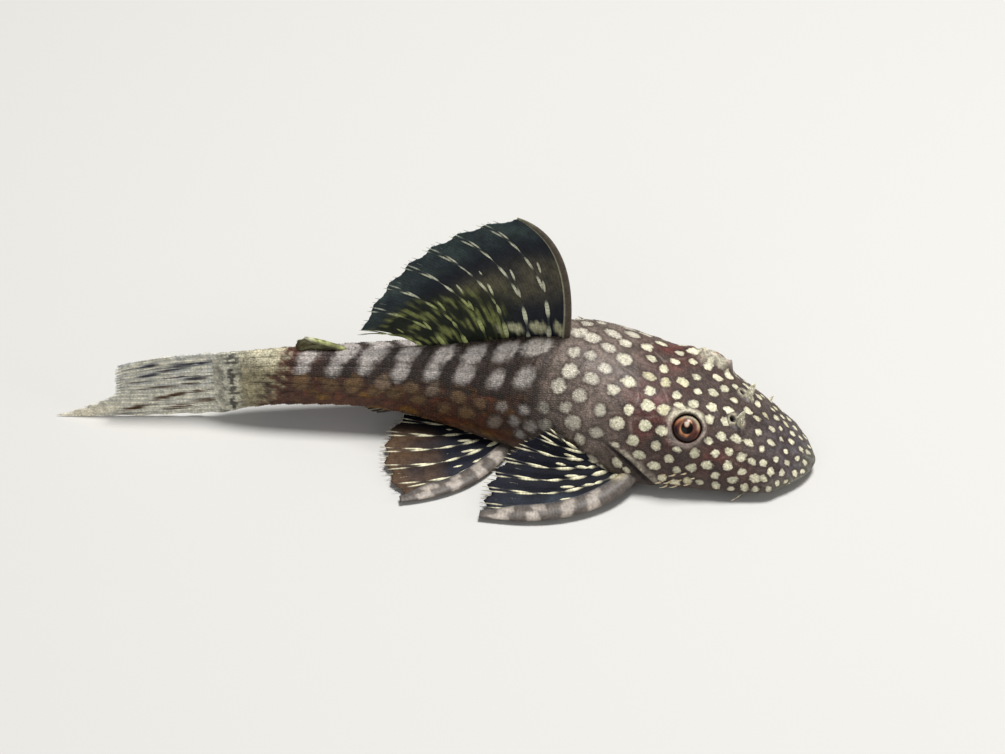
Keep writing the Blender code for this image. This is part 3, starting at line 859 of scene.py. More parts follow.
def nostril_frame(side):
    """The middle of a nostril on the surface, and the directions outward, up and forward."""
    turns = np.linspace(1.05, 1.98, 400) if side < 0.0 else np.linspace(2.02, 2.95, 400)
    lateral = outline(np.full(400, NOSTRIL_AT), turns)[0]
    turn = float(turns[np.abs(lateral - side * NOSTRIL_LATERAL).argmin()])
    centre = shell(NOSTRIL_AT, turn)
    outward = normals_of(np.array([NOSTRIL_AT]), np.array([turn]))[0]
    forward = forward_at(NOSTRIL_AT)
    forward = unit(forward - outward * (forward @ outward))
    return centre, outward, np.cross(outward, forward) * side, forward


NOSTRILS = {side: nostril_frame(side) for side in SIDES.values()}


def hole_loop(inside_quads):
    """The points round the edge of a patch of quads, in order."""
    edges = {}
    for quad in inside_quads:
        for k in range(4):
            edges[(quad[k], quad[(k + 1) % 4])] = True
    following = {a: b for a, b in edges if (b, a) not in edges}
    start = next(iter(following))
    loop = [start]
    while following[loop[-1]] != start:
        loop.append(following[loop[-1]])
    return np.array(loop)


def solve_on_shell(targets, frame_axes, fraction, turn):
    """Places and turns whose surface points lie at the targets, measured across an axis."""
    centre, first, second = frame_axes

    def flat(f, t):
        offset = shell(f, t) - centre
        return np.stack([offset @ first, offset @ second], axis=-1)

    step_f, step_t = 0.0008, 0.004
    for _ in range(9):
        here = flat(fraction, turn)
        miss = targets - here
        by_f = (flat(fraction + step_f, turn) - here) / step_f
        by_t = (flat(fraction, turn + step_t) - here) / step_t
        det = by_f[..., 0] * by_t[..., 1] - by_f[..., 1] * by_t[..., 0]
        det = np.where(np.abs(det) < 1e-9, 1e-9, det)
        move_f = (miss[..., 0] * by_t[..., 1] - miss[..., 1] * by_t[..., 0]) / det
        move_t = (by_f[..., 0] * miss[..., 1] - by_f[..., 1] * miss[..., 0]) / det
        fraction = fraction + np.clip(move_f, -0.01, 0.01)
        turn = turn + np.clip(move_t, -0.06, 0.06)
    return fraction, turn


def patch_places(loop_fraction, loop_turn, axes, hole, inner, rings):
    """Rings of places and turns running in from the hole's edge to a true circle."""
    centre, _, second, first = axes
    offset = shell(loop_fraction, loop_turn) - centre
    across, over = offset @ first, offset @ second
    radius = np.hypot(across, over)
    angle = np.unwrap(np.arctan2(over, across))
    way = 1.0 if angle[-1] > angle[0] else -1.0
    even = angle.mean() + way * TURN * (np.arange(len(angle)) / len(angle) - 0.5 + 0.5 / len(angle))
    share = (np.arange(1, rings + 1) / rings)[:, None]
    settle_in = smooth(0.0, 0.35, share)
    scale = 1.0 - share * (1.0 - inner / hole)
    rho = scale * (radius[None] * (1.0 - settle_in) + hole * settle_in)
    phi = angle[None] * (1.0 - settle_in) + even[None] * settle_in
    targets = np.stack([rho * np.cos(phi), rho * np.sin(phi)], axis=-1)
    guess_f = np.broadcast_to(loop_fraction[None], rho.shape)
    guess_t = np.broadcast_to(loop_turn[None], rho.shape)
    middle_f, middle_t = loop_fraction.mean(), loop_turn.mean()
    guess_f = middle_f + (guess_f - middle_f) * rho / radius[None]
    guess_t = middle_t + (guess_t - middle_t) * rho / radius[None]
    fraction, turn = solve_on_shell(targets, (centre, first, second), guess_f, guess_t)
    return fraction, turn, rho


def skin_uv(s):
    """Places on the skin's own unwrap: round the body across, and snout to tail upward."""
    along = (s.fraction - SNOUT_START) / (SKIN_END - SNOUT_START)
    return np.stack([0.01 + 0.98 * s.share, 0.01 + 0.90 * np.clip(along, 0.0, 1.0)], axis=-1)


# The lid's height over the eyeball's middle at distances from its axis, both in millimetres.
LID_RADII = (1.42, 1.48, 1.54, 1.62, 1.74, 1.92, 2.20, 2.60)
LID_HEIGHTS = (0.80, 1.10, 1.30, 1.39, 1.38, 1.24, 0.98, 0.60)
LID_BROW = 0.30 * MM


def lid_points(points, axes):
    """The skin drawn into a thick round lid about the eyeball."""
    centre, outward, up, _ = axes
    depth, radius = from_axis(points, axes)
    lid = np.interp(radius / MM, LID_RADII, LID_HEIGHTS) * MM
    offset = points - centre
    above = (offset @ up) / np.maximum(radius, 1e-9)
    ahead = (offset @ axes[3]) / np.maximum(radius, 1e-9)
    uneven = 0.10 * np.sin(3.0 * np.arctan2(ahead, above) + 0.8) + 0.05 * ripple(points, 1.2 * MM, 73)
    lid = lid + uneven * MM * bell(radius, 1.85 * MM, 0.30 * MM)
    lid = lid + LID_BROW * smooth(0.0, 0.9, above) * bell(radius, 1.75 * MM, 0.50 * MM)
    weight = fading(1.80 * MM, 2.60 * MM, radius)
    return points + outward * ((lid - depth) * weight)[..., None]


# A nostril's two openings: how far ahead of its middle, radius and height of the rim.
NARES = ((0.44, 0.15, 0.15), (-0.50, 0.25, 0.12))


def nostril_relief(points, axes):
    """Depth in millimetres of the two openings of a nostril with their raised rims, how far each point
    lies in an opening's painted shade, and how pale its rim is.
    """
    centre, _, across, forward = axes
    offset = points - centre
    x, y = offset @ forward / MM, offset @ across / MM
    uneven = 0.12 * ripple(points, 0.7 * MM, 71)
    total = np.zeros(x.shape)
    dark = np.zeros(x.shape)
    pale = np.zeros(x.shape)
    for at, radius, rim in NARES:
        away = np.hypot(x - at, y * 0.80) * (1.0 + 0.5 * uneven)
        total += -0.55 * fading(radius * 0.50, radius * 1.35, away)
        total += rim * bell(away, radius + 0.20, 0.17)
        dark = np.maximum(dark, fading(radius * 0.80, radius * 1.20, away))
        pale = np.maximum(pale, bell(away, radius + 0.20, 0.16) * (0.8 + 0.8 * uneven))
    return total, dark, np.clip(pale, 0.0, 1.0)


def finished(s):
    """Points of the finished skin: the body's surface with its relief, lids and nostrils."""
    height = relief(s)
    for axes in NOSTRILS.values():
        depth, radius = from_axis(s.point, axes)
        near = (radius < NOSTRIL_HOLE) & (np.abs(depth) < NOSTRIL_DEPTH)
        height = height + np.where(near, nostril_relief(s.point, axes)[0], 0.0)
    points = s.point + s.normal * (height * MM - COAT_DEPTH)[..., None]
    for axes in EYES.values():
        depth = from_axis(s.point, axes)[0]
        shown = smooth(-1.0 * MM, -0.4 * MM, depth)[..., None]
        points = points + shown * (lid_points(points, axes) - points)
    off_floor(points)
    return points


def flattened(values):
    """Values on a grid of points as values in a row."""
    return {name: value.reshape(-1, *value.shape[2:]) for name, value in values.items()}


def make_skin():
    """The one skin of head, body and tail root, and the spots that its coat repeats."""
    fraction = np.repeat(RING_PLACES[:, None], SKIN_COLUMNS, axis=1)
    grid = surface_at(fraction, skin_turns())
    spots = scatter_spots(grid)
    values = skin_values(grid, spots)
    points = finished(grid)

    quads = grid_quads(SKIN_RINGS, SKIN_COLUMNS, wrap=True)
    uv = skin_uv(grid).reshape(-1, 2)
    corner_uv = uv[quads].copy()
    last = quads[:, 0] % SKIN_COLUMNS == SKIN_COLUMNS - 1
    corner_uv[last, 1, 0] = 0.99
    corner_uv[last, 2, 0] = 0.99

    holes = [(axes, EYE_HOLE, EYE_OPENING, EYE_PATCH_RINGS, "eye") for axes in EYES.values()]
    for axes in NOSTRILS.values():
        holes.append((axes, NOSTRIL_HOLE, NOSTRIL_CENTRE, NOSTRIL_PATCH_RINGS, "nostril"))
    flat_point = grid.point.reshape(-1, 3)
    removed = np.zeros(len(quads), bool)
    openings = []
    for axes, hole, inner, rings, kind in holes:
        depth, radius = from_axis(flat_point, axes)
        inside = (radius < hole) & (depth > -1.0 * MM)
        cut = inside[quads].all(axis=1)
        removed |= cut
        openings.append((hole_loop(quads[cut]), axes, hole, inner, rings, kind))

    shape = Shape()
    shape.add(points, quads[~removed], values=flattened(values), quad_uv=corner_uv[~removed])
    for loop, axes, hole, inner, rings, kind in openings:
        add_patch(shape, grid, spots, loop, axes, hole, inner, rings, kind)
    for ring, hub_uv in ((0, (0.5, 0.005)), (SKIN_RINGS - 1, (0.5, 0.915))):
        ids = ring * SKIN_COLUMNS + np.arange(SKIN_COLUMNS)
        around = {name: value[ring] for name, value in values.items()}
        add_hub(shape, ids, points[ring], around, uv[ids], np.array(hub_uv), flip=ring == 0)
    add_nose_flaps(shape, spots)
    add_feelers(shape, spots)
    return shape, spots


def add_hub(shape, ids, points, values, uvs, hub_uv, flip=False):
    """Closes a ring of the shape's points with a fan about its middle."""
    around = {name: value.mean(axis=0, keepdims=True) for name, value in values.items()}
    hub = shape.add(points.mean(axis=0), values=around, uv=hub_uv[None])
    order = [ids, np.roll(ids, -1)]
    corners = [uvs, np.roll(uvs, -1, axis=0)]
    if flip:
        order.reverse()
        corners.reverse()
    shape.tris.append(np.stack([np.full(len(ids), hub), *order], axis=1))
    shape.tri_uvs.append(np.stack([np.broadcast_to(hub_uv, uvs.shape), *corners], axis=1))


def add_patch(shape, grid, spots, loop, axes, hole, inner, rings, kind):
    """Fills a hole in the grid with fine rings, shaped as a lid or a nostril."""
    f_loop, t_loop = grid.fraction.ravel()[loop], grid.turn.ravel()[loop]
    fraction, turn, rho = patch_places(f_loop, t_loop, axes, hole, inner, rings)
    s = surface_at(fraction, turn)
    values = skin_values(s, spots)
    points = finished(s)
    if kind == "eye":
        values["field"] = values["field"] - 1.2 * fading(1.75 * MM, 2.0 * MM, rho)
        # Painted shade in the groove where the lid's inner edge meets the eyeball.
        lid_edge_shade = fading(1.46 * MM, 1.60 * MM, rho)
        values["ground"] = toward(values["ground"], "3a2c28", 0.8 * lid_edge_shade)
    else:
        _, dark, pale = nostril_relief(s.point, axes)
        near = fading(0.75 * MM, 1.20 * MM, rho)
        values["field"] = values["field"] - 1.6 * near
        values["ground"] = toward(values["ground"], "6c6568", 0.7 * near)
        values["ground"] = toward(values["ground"], "b9b093", 0.85 * pale)
        # Painted shade: the nostril openings nearly black inside.
        values["ground"] = toward(values["ground"], "0a0707", dark)
    uv = skin_uv(s)
    count = len(loop)
    quads = grid_quads(rings, count, wrap=True)
    start = shape.add(points, quads, values=flattened(values), uv=uv.reshape(-1, 2))
    first = start + np.arange(count)
    joined = np.stack([loop, np.roll(loop, -1), np.roll(first, -1), first], axis=1)
    loop_uv = skin_uv(surface_at(f_loop, t_loop))
    corner = np.stack([loop_uv, np.roll(loop_uv, -1, axis=0), np.roll(uv[0], -1, axis=0), uv[0]], axis=1)
    shape.quads.append(joined)
    shape.quad_uvs.append(corner)
    if kind == "nostril":
        last = start + (rings - 1) * count + np.arange(count)
        around = {name: value[-1] for name, value in values.items()}
        add_hub(shape, last, points[-1], around, uv[-1], uv[-1].mean(axis=0))


def plain_skin_values(s, spots, colour, count):
    """Values for a flap or feeler that grows from one place of the skin."""
    values = skin_values(s, spots)
    flat = {k: np.repeat(v.reshape(1, *v.shape[1:]), count, axis=0) for k, v in values.items()}
    flat["ground"] = np.repeat(colour[None], count, axis=0)
    flat["field"] = np.full(count, -2.0)
    flat["crease"] = np.zeros(count)
    flat["striped"] = np.zeros(count)
    return flat


def closed_sheet(first, second, wrap=False):
    """Points and faces of a closed thin solid between two grids, or two discs if they wrap round."""
    rows, columns = first.shape[:2]
    size = rows * columns
    face = grid_quads(rows, columns, wrap)
    edge = size - columns + np.arange(columns)[::-1]
    if not wrap:
        edge = np.concatenate([
            np.arange(columns - 1),
            np.arange(rows - 1) * columns + columns - 1,
            edge[:-1],
            np.arange(rows - 1, 0, -1) * columns,
        ])
    after = np.roll(edge, -1)
    rim = np.stack([edge, edge + size, after + size, after], axis=1)
    points = np.concatenate([first.reshape(-1, 3), second.reshape(-1, 3)])
    return points, outward_quads(points, np.concatenate([face, face[:, ::-1] + size, rim]))


FLAP_REACH = math.radians(105.0)
FLAP_PEAKS = math.radians(46.0)
FLAP_ROWS = 16
FLAP_COLUMNS = 36
FEELER_SIDES = 10
BARBEL_RINGS = 26
BARBEL_HALF = 0.13


def add_nose_flaps(shape, spots):
    """The two-pointed flap that stands up behind the front opening of each nostril."""
    rows, columns = FLAP_ROWS, FLAP_COLUMNS
    share = np.linspace(0.0, 1.0, rows)[:, None]
    angle = np.linspace(-FLAP_REACH, FLAP_REACH, columns)[None, :]
    top = 0.42 + 0.95 * np.exp(-(((np.abs(angle) - FLAP_PEAKS) / math.radians(36.0)) ** 2))
    top = top * (1.0 - 0.6 * smooth(0.75, 1.0, np.abs(angle) / FLAP_REACH))
    height = -0.25 + (top + 0.25) * share
    radius = 0.44 + 0.16 * share + 0.14 * share**2
    thick = 0.075 * (1.0 - 0.45 * share)
    s = surface_at(np.array([NOSTRIL_AT]), np.array([1.6]))
    for number, (centre, outward, across, forward) in enumerate(NOSTRILS.values()):
        middle = centre + forward * NARES[0][0] * MM
        away = -np.cos(angle)[..., None] * forward + np.sin(angle)[..., None] * across
        base = middle + outward * (height * MM)[..., None]
        inner = base + away * ((radius - thick) * MM)[..., None]
        outer = base + away * ((radius + thick) * MM)[..., None]
        points, quads = closed_sheet(outer, inner)
        values = plain_skin_values(s, spots, tint("ece6cb"), len(points))
        u = 0.02 + 0.05 * number + 0.04 * (angle / FLAP_REACH * 0.5 + 0.5)
        v = 0.94 + 0.02 * share
        uv = np.stack(np.broadcast_arrays(u, v), axis=-1).reshape(-1, 2)
        uv = np.concatenate([uv, uv + (0.0, 0.023)])
        shape.add(points, quads, values=values, uv=uv)


def add_feeler(shape, s, spots, path, thick_mm, number):
    """A small feeler grown from the skin, tapering along its path."""
    rings, sides = len(path), FEELER_SIDES
    along = unit(np.gradient(path, axis=0))
    wide = unit(np.cross(along, (0.0, 0.0, 1.0)))
    thick = np.cross(along, wide)
    share = np.linspace(0.0, 1.0, rings)
    half = thick_mm * MM * (1.0 - 0.72 * share**1.6)
    half[-1] = half[-2] * 0.55
    angle = TURN * np.arange(sides) / sides
    offsets = np.cos(angle)[None, :, None] * wide[:, None] + np.sin(angle)[None, :, None] * thick[:, None]
    points = path[:, None] + offsets * half[:, None, None]
    off_floor(points)
    quads = outward_quads(points.reshape(-1, 3), grid_quads(rings, sides, wrap=True))
    values = plain_skin_values(s, spots, tint("c9c0a6"), rings * sides)
    u = 0.20 + 0.04 * number + 0.03 * (angle / TURN)[None, :]
    v = 0.94 + 0.045 * share[:, None]
    uv = np.stack(np.broadcast_arrays(u, v), axis=-1).reshape(-1, 2)
    start = shape.add(points, quads, values=values, quad_uv=uv[quads])
    one = {k: value[-1:] for k, value in values.items()}
    tip = shape.add(path[-1] + along[-1] * half[-2] * 0.3, values=one, uv=uv[-1:])
    ids = start + (rings - 1) * sides + np.arange(sides)
    fan = np.stack([np.full(sides, tip), ids, np.roll(ids, -1)], axis=1)
    flat = points.reshape(-1, 3)
    if np.cross(flat[-sides] - path[-1], flat[-sides + 1] - path[-1]) @ along[-1] < 0.0:
        fan = fan[:, ::-1]
    shape.tris.append(fan)
    shape.tri_uvs.append(np.zeros((sides, 3, 2)) + uv[-1])


# Bristles of the snout's rim: place, turn, length and half thickness in mm, and if on both sides.
BRISTLES = (
    (0.030, 1.03, 0.34, 0.10, True),
    (0.098, 1.42, 0.70, 0.17, False),
)


def add_feelers(shape, spots):
    """The barbels at the mouth's corners and the small bristles of the snout's rim."""
    share = np.linspace(0.0, 1.0, BARBEL_RINGS)[:, None]
    s = surface_at(np.array([0.10]), np.array([1.0]))
    for number, side in enumerate(SIDES.values()):
        root, tip = (np.array(p) * (1.0, side, 1.0) for p in (BARBEL_ROOT, BARBEL_TIP))
        place = root + (tip - root) * share
        place[:, 2] += 0.0020 * np.sin(math.pi * share[:, 0])
        place[:, 0] += 0.010 * share[:, 0] ** 2
        add_feeler(shape, s, spots, body_point(*place.T), BARBEL_HALF, number)
        for k, (fraction, flank_turn, length, thick, both) in enumerate(BRISTLES):
            if side < 0.0 and not both:
                continue
            turn = flank_turn if side < 0.0 else ROUND - flank_turn
            root = shell(fraction, turn)
            out = normals_of(np.array([fraction]), np.array([turn]))[0]
            path = root + (share * length - 0.2) * MM * out
            path[:, 2] += 0.15 * length * MM * share[:, 0] ** 2
            add_feeler(shape, s, spots, path, thick, 2 + 2 * number + k)


# Materials. The sockets of a mix of colours are its weight, first and second colour, and result.
MIX_SOCKETS = (0, 6, 7)
MIX_RESULT = 2


class Nodes:
    """A material's node tree, built call by call."""

    def __init__(self, name):
        self.material = bpy.data.materials.new(name)
        self.material.use_nodes = True
        self.tree = self.material.node_tree
        self.shader = self.tree.nodes["Principled BSDF"]
        self.at = self.add("ShaderNodeTexCoord").outputs["Object"]

    def add(self, kind, inputs=None, **settings):
        node = self.tree.nodes.new(kind)
        for name, value in settings.items():
            setattr(node, name, value)
        for key, value in (inputs or {}).items():
            self.put(value, node.inputs[key])
        return node

    def put(self, value, socket):
        if isinstance(value, bpy.types.NodeSocket):
            self.tree.links.new(value, socket)
        elif isinstance(value, (np.ndarray, tuple, list)) and socket.type == "RGBA":
            socket.default_value = (*map(float, value[:3]), 1.0)
        elif isinstance(value, (np.ndarray, tuple, list)):
            socket.default_value = tuple(map(float, value))
        else:
            socket.default_value = value

    def value(self, name):
        return self.add("ShaderNodeAttribute", attribute_name=name).outputs["Fac"]

    def colour(self, name):
        return self.add("ShaderNodeAttribute", attribute_name=name).outputs["Color"]

    def noise(self, scale, detail=2.0, rough=0.5):
        inputs = {"Vector": self.at, "Scale": scale, "Detail": detail, "Roughness": rough}
        return self.add("ShaderNodeTexNoise", inputs=inputs).outputs["Fac"]

    def cells(self, scale):
        inputs = {"Vector": self.at, "Scale": scale}
        return self.add("ShaderNodeTexVoronoi", inputs=inputs, feature="F1").outputs["Distance"]

    def math(self, operation, *values):
        node = self.add("ShaderNodeMath", operation=operation)
        for socket, value in zip(node.inputs, values):
            self.put(value, socket)
        return node.outputs[0]

    def times(self, first, second):
        return self.math("MULTIPLY", first, second)

    def plus(self, first, second):
        return self.math("ADD", first, second)

    def span(self, value, low, high, out_low=0.0, out_high=1.0, soft=True):
        """A value mapped from one range to another and held at its ends."""
        node = self.add("ShaderNodeMapRange", interpolation_type="SMOOTHSTEP" if soft else "LINEAR")
        names = ("Value", "From Min", "From Max", "To Min", "To Max")
        for name, item in zip(names, (value, low, high, out_low, out_high)):
            self.put(item, node.inputs[name])
        return node.outputs["Result"]

    def mix(self, weight, first, second):
        node = self.add("ShaderNodeMix", data_type="RGBA")
        for socket, value in zip(MIX_SOCKETS, (weight, first, second)):
            self.put(value, node.inputs[socket])
        return node.outputs[MIX_RESULT]

    def scaled(self, colour, amount):
        """A colour made lighter or darker by a value."""
        node = self.add("ShaderNodeVectorMath", operation="SCALE")
        self.put(colour, node.inputs[0])
        self.put(amount, node.inputs["Scale"])
        return node.outputs[0]

    def shaded(self, colour, value, low, high, dark, light):
        """A colour scaled from dark to light as a value runs from low to high."""
        return self.scaled(colour, self.span(value, low, high, dark, light, soft=False))

    def bump(self, height, strength, distance):
        inputs = {"Height": height, "Strength": strength, "Distance": distance}
        return self.add("ShaderNodeBump", inputs=inputs).outputs["Normal"]

    def finish(self, **sockets):
        for name, value in sockets.items():
            self.put(value, self.shader.inputs[name.replace("_", " ")])
        return self.material


def grained(name, scale, detail, rough, dark, light):
    """A material's nodes, its painted colour with a fine grain, and the grain."""
    n = Nodes(name)
    grain = n.noise(scale, detail, rough)
    return n, n.shaded(n.colour("ground"), grain, 0.3, 0.7, dark, light), grain


def skin_material(name, coat):
    """Spotted skin: ground and spot colours mixed by the spots' distance, mottled and grainy."""
    n = Nodes(name)
    fine = n.noise(5200.0, 3.0, 0.6)
    middle = n.noise(1900.0, 3.0, 0.6)
    broad = n.noise(640.0, 3.0, 0.55)
    grains = n.cells(3900.0)
    wobble = n.times(n.math("SUBTRACT", middle, 0.5), 0.62)
    field = n.plus(n.value("field"), wobble)
    soft = n.value("soft")
    inside = n.span(field, n.times(soft, -1.0), soft)
    core = n.span(field, 0.0, 0.45, 0.84, 1.12)
    halo = n.times(n.span(field, -0.50, -0.10), n.math("SUBTRACT", 1.0, inside))
    bony = n.value("bony")
    ground = n.shaded(n.colour("ground"), broad, 0.30, 0.70, 0.62, 1.45)
    ground = n.mix(n.times(n.span(middle, 0.48, 0.66), 0.42), ground, n.scaled(ground, 1.75))
    ground = n.mix(n.times(n.span(middle, 0.50, 0.34), 0.60), ground, n.scaled(ground, 0.48))
    ground = n.mix(n.times(halo, 0.55), ground, tint("331d16"))
    tone = n.scaled(n.colour("tone"), core)
    tone = n.shaded(tone, middle, 0.32, 0.68, 0.84, 1.10)
    colour = n.mix(inside, ground, tone)
    lane = n.math("SINE", n.times(n.value("lane"), TURN / 0.24))
    striped = n.times(lane, n.value("striped"))
    colour = n.shaded(colour, striped, -1.0, 1.0, 0.80, 1.14)
    colour = n.shaded(colour, fine, 0.30, 0.70, 0.72, 1.26)
    colour = n.shaded(colour, grains, 0.15, 0.70, 1.10, 0.80)
    # Darkened by the painted shade of the scutes' edges and grooves.
    crease = n.times(n.value("crease"), n.span(middle, 0.35, 0.60, 1.0, 0.45, soft=False))
    colour = n.shaded(colour, crease, 0.0, 1.0, 1.0, 0.48)
    if coat:
        colour = n.mix(n.times(n.value("tip"), 0.26), colour, tint("c4b8a2"))
    rough = n.span(fine, 0.3, 0.7, 0.46, 0.66, soft=False)
    pits = n.times(grains, bony)
    height = n.plus(n.times(fine, 0.7), n.times(pits, -0.9))
    height = n.plus(height, n.times(striped, 0.25))
    height = n.plus(height, n.times(middle, 1.2))
    normal = n.bump(height, 0.75, 0.00007)
    return n.finish(
        Base_Color=colour,
        Roughness=rough,
        Normal=normal,
        Specular_IOR_Level=0.35,
        Coat_Weight=0.05,
        Coat_Roughness=0.25,
    )


# Denticles: rows along the lanes of the scutes and closer, finer ones on the head.
LANE_GAP = 0.24 * MM
DENTICLE_LENGTH = 0.24 * MM
DENTICLE_WIDTH = 0.085 * MM
DENTICLE_LIFT = 0.060 * MM
COAT_SEED = 77
BARE_BY_EYE = 2.60 * MM
BARE_BY_NOSTRIL = 0.80 * MM


def denticle_roots(side, start, end, along_step, lane_gap, lowest, seed):
    """Places and turns of denticle roots, staggered along lanes at even distances from the back."""
    draws = np.random.default_rng(seed)
    places = np.linspace(start, end, int((end - start) * STANDARD_LENGTH / along_step))
    rows = np.interp(places, RING_PLACES, np.arange(SKIN_RINGS))
    fractions, turns = [], []
    half = slice(0, BACK_TURN + 1) if side < 0.0 else slice(BACK_TURN, None)
    for number, (place, row) in enumerate(zip(places, rows)):
        low = int(min(row, SKIN_RINGS - 2))
        blend = row - low
        away = FROM_BACK[low, half] * (1 - blend) + FROM_BACK[low + 1, half] * blend
        flank = FLANK[low, half] * (1 - blend) + FLANK[low + 1, half] * blend
        dense = DENSE_TURNS[half]
        if side < 0.0:
            away, flank, dense = away[::-1], flank[::-1], dense[::-1]
        limit = np.interp(lowest(place), flank, away)
        lanes = np.arange(0.25 * lane_gap + (number % 2) * 0.5 * lane_gap, limit, lane_gap)
        lanes = lanes + draws.normal(0.0, 0.10 * lane_gap, len(lanes))
        turns.append(np.interp(lanes, away, dense))
        fractions.append(place + draws.normal(0.0, 0.16 * along_step, len(lanes)) / STANDARD_LENGTH)
    return np.concatenate(fractions), np.concatenate(turns)


def add_denticles(shape, s, spots, sizes, draws):
    """A small leaning blade at each root: a closed five-sided splinter that points backward."""
    root = finished(s)
    back = -forward_at(s.fraction)
    back = unit(back - s.normal * (back * s.normal).sum(axis=-1, keepdims=True))
    across = np.cross(s.normal, back)
    twist = draws.normal(0.0, 0.14, len(root))[:, None]
    back = unit(back + across * twist)
    across = np.cross(s.normal, back)
    size = draws.uniform(0.75, 1.25, len(root))[:, None]
    length, width, lift = (measure * size for measure in sizes)
    sunk = s.normal * 0.02 * MM
    corners = np.stack(
        [
            root - sunk - back * length * 0.35,
            root - sunk + across * width * 0.5,
            root - sunk - across * width * 0.5,
            root + s.normal * lift * 0.75 + back * length * 0.10,
            root + s.normal * lift + back * length * 0.65,
        ],
        axis=1,
    )
    count = len(root)
    faces = np.array([(0, 1, 3), (0, 3, 2), (1, 4, 3), (2, 3, 4), (1, 2, 4), (0, 2, 1)])
    tris = (faces[None] + 5 * np.arange(count)[:, None, None]).reshape(-1, 3)
    values = {k: np.repeat(v, 5, axis=0) for k, v in skin_values(s, spots).items()}
    values["tip"] = np.tile((0.0, 0.1, 0.1, 0.6, 1.0), count)
    uv = skin_uv(s)
    spread = 0.0015 * np.array([(-1, 0), (0, 1), (0, -1), (0.2, 0.0), (1, 0)])
    corner = (uv[:, None] + spread[None]).reshape(-1, 2)
    shape.add(corners, tris=tris, values=values, uv=corner)


def clear_of_openings(s):
    """True where a root is not on an eye or a nostril."""
    keep = eye_radius(s.point) > BARE_BY_EYE
    for axes in NOSTRILS.values():
        depth, radius = from_axis(s.point, axes)
        keep &= ~((radius < BARE_BY_NOSTRIL) & (np.abs(depth) < NOSTRIL_DEPTH))
    return keep


def make_coat(material, spots):
    """Denticles over head, trunk and tail root, each area and side in a piece of its own. An area
    has its ends, the gaps between rows and lanes, how far down it goes and the denticles' scale."""
    areas = {
        "head": (0.030, 0.352, 0.26 * MM, 0.25 * MM, lambda f: 0.97, 0.62),
        "trunk": (0.352, 0.660, 0.27 * MM, LANE_GAP, lambda f: 1.08 + 0.5 * smooth(0.62, 0.66, f), 1.0),
        "tail": (0.660, 0.985, 0.27 * MM, LANE_GAP, lambda f: 1.5 + 0.45 * smooth(0.66, 0.70, f), 0.92),
    }
    seed = COAT_SEED
    for area, (start, end, step, gap, lowest, scale) in areas.items():
        for side_name, side in SIDES.items():
            seed += 1
            draws = np.random.default_rng(seed + 100)
            fraction, turn = denticle_roots(side, start, end, step, gap, lowest, seed)
            s = surface_at(fraction, turn)
            keep = clear_of_openings(s)
            s = SimpleNamespace(**{name: values[keep] for name, values in vars(s).items()})
            shape = Shape()
            sizes = (DENTICLE_LENGTH * scale, DENTICLE_WIDTH * scale**0.5, DENTICLE_LIFT * scale)
            add_denticles(shape, s, spots, sizes, draws)
            obj = shape.build(f"denticles_{area}_{side_name}", material, "OFBake")
            settle(obj, "skin")


# Fins between a first and a last ray: a root, a bowing point and a tip, each place, aside and height.
FINS = {
    "dorsal_fin": {
        "first": ((0.425, 0.0, 0.175), (0.405, 0.0, 0.400), (0.512, 0.0, 0.436)),
        "last": ((0.655, 0.0, 0.140), (0.700, 0.0, 0.200), (0.772, 0.0, 0.194)),
        "margin": (0.705, 0.0, 0.402),
        "rays": 8,
        "spine_width": (0.42, 0.40, 0.30, 0.10),
        "spine_thick": (0.45, 0.32, 0.22, 0.08),
        "ray_width": (0.23, 0.10),
        "spread": (0.185, 0.085),
    },
    "adipose_fin": {
        "first": ((0.776, 0.0, 0.140), (0.806, 0.0, 0.166), (0.862, 0.0, 0.180)),
        "last": ((0.868, 0.0, 0.135), (0.872, 0.0, 0.150), (0.878, 0.0, 0.160)),
        "margin": (0.880, 0.0, 0.175),
        "rays": 3,
        "spine_width": (0.30, 0.34, 0.30, 0.12),
        "spine_thick": (0.40, 0.36, 0.30, 0.12),
        "ray_width": (0.08, 0.04),
        "spread": (0.18, 0.08),
    },
    "anal_fin": {
        "first": ((0.668, 0.0, 0.052), (0.690, 0.0, 0.016), (0.748, 0.0, 0.008)),
        "last": ((0.700, 0.0, 0.052), (0.730, 0.0, 0.030), (0.772, 0.0, 0.026)),
        "margin": (0.772, 0.0, 0.014),
        "rays": 5,
        "spine_width": (0.30, 0.26, 0.18, 0.08),
        "spine_thick": (0.28, 0.24, 0.16, 0.08),
        "ray_width": (0.14, 0.06),
        "spread": (0.20, 0.09),
    },
    "pectoral_fin": {
        "first": ((0.262, 0.100, 0.030), (0.296, 0.278, 0.009), (0.571, 0.249, 0.010)),
        "last": ((0.325, 0.118, 0.045), (0.385, 0.150, 0.085), (0.446, 0.132, 0.100)),
        "margin": (0.590, 0.140, 0.020),
        "rays": 7,
        "spine_width": (0.85, 1.05, 1.02, 0.45),
        "spine_thick": (0.80, 0.55, 0.38, 0.12),
        "ray_width": (0.25, 0.11),
        "spread": (0.25, 0.12),
        "left_fold": math.radians(-19.0),
        "left_rise": 0.014,
    },
    "pelvic_fin": {
        "first": ((0.498, 0.055, 0.010), (0.548, 0.191, 0.009), (0.704, 0.214, 0.009)),
        "last": ((0.520, 0.030, 0.008), (0.600, 0.040, 0.016), (0.706, 0.014, 0.018)),
        "margin": (0.776, 0.100, 0.016),
        "rays": 6,
        "spine_width": (0.55, 0.95, 0.95, 0.40),
        "spine_thick": (0.50, 0.42, 0.30, 0.10),
        "ray_width": (0.24, 0.11),
        "spread": (0.25, 0.12),
        "left_fold": math.radians(-14.0),
        "left_rise": 0.0,
    },
}
SPINE_KNOTS = (0.0, 0.35, 0.80, 1.0)

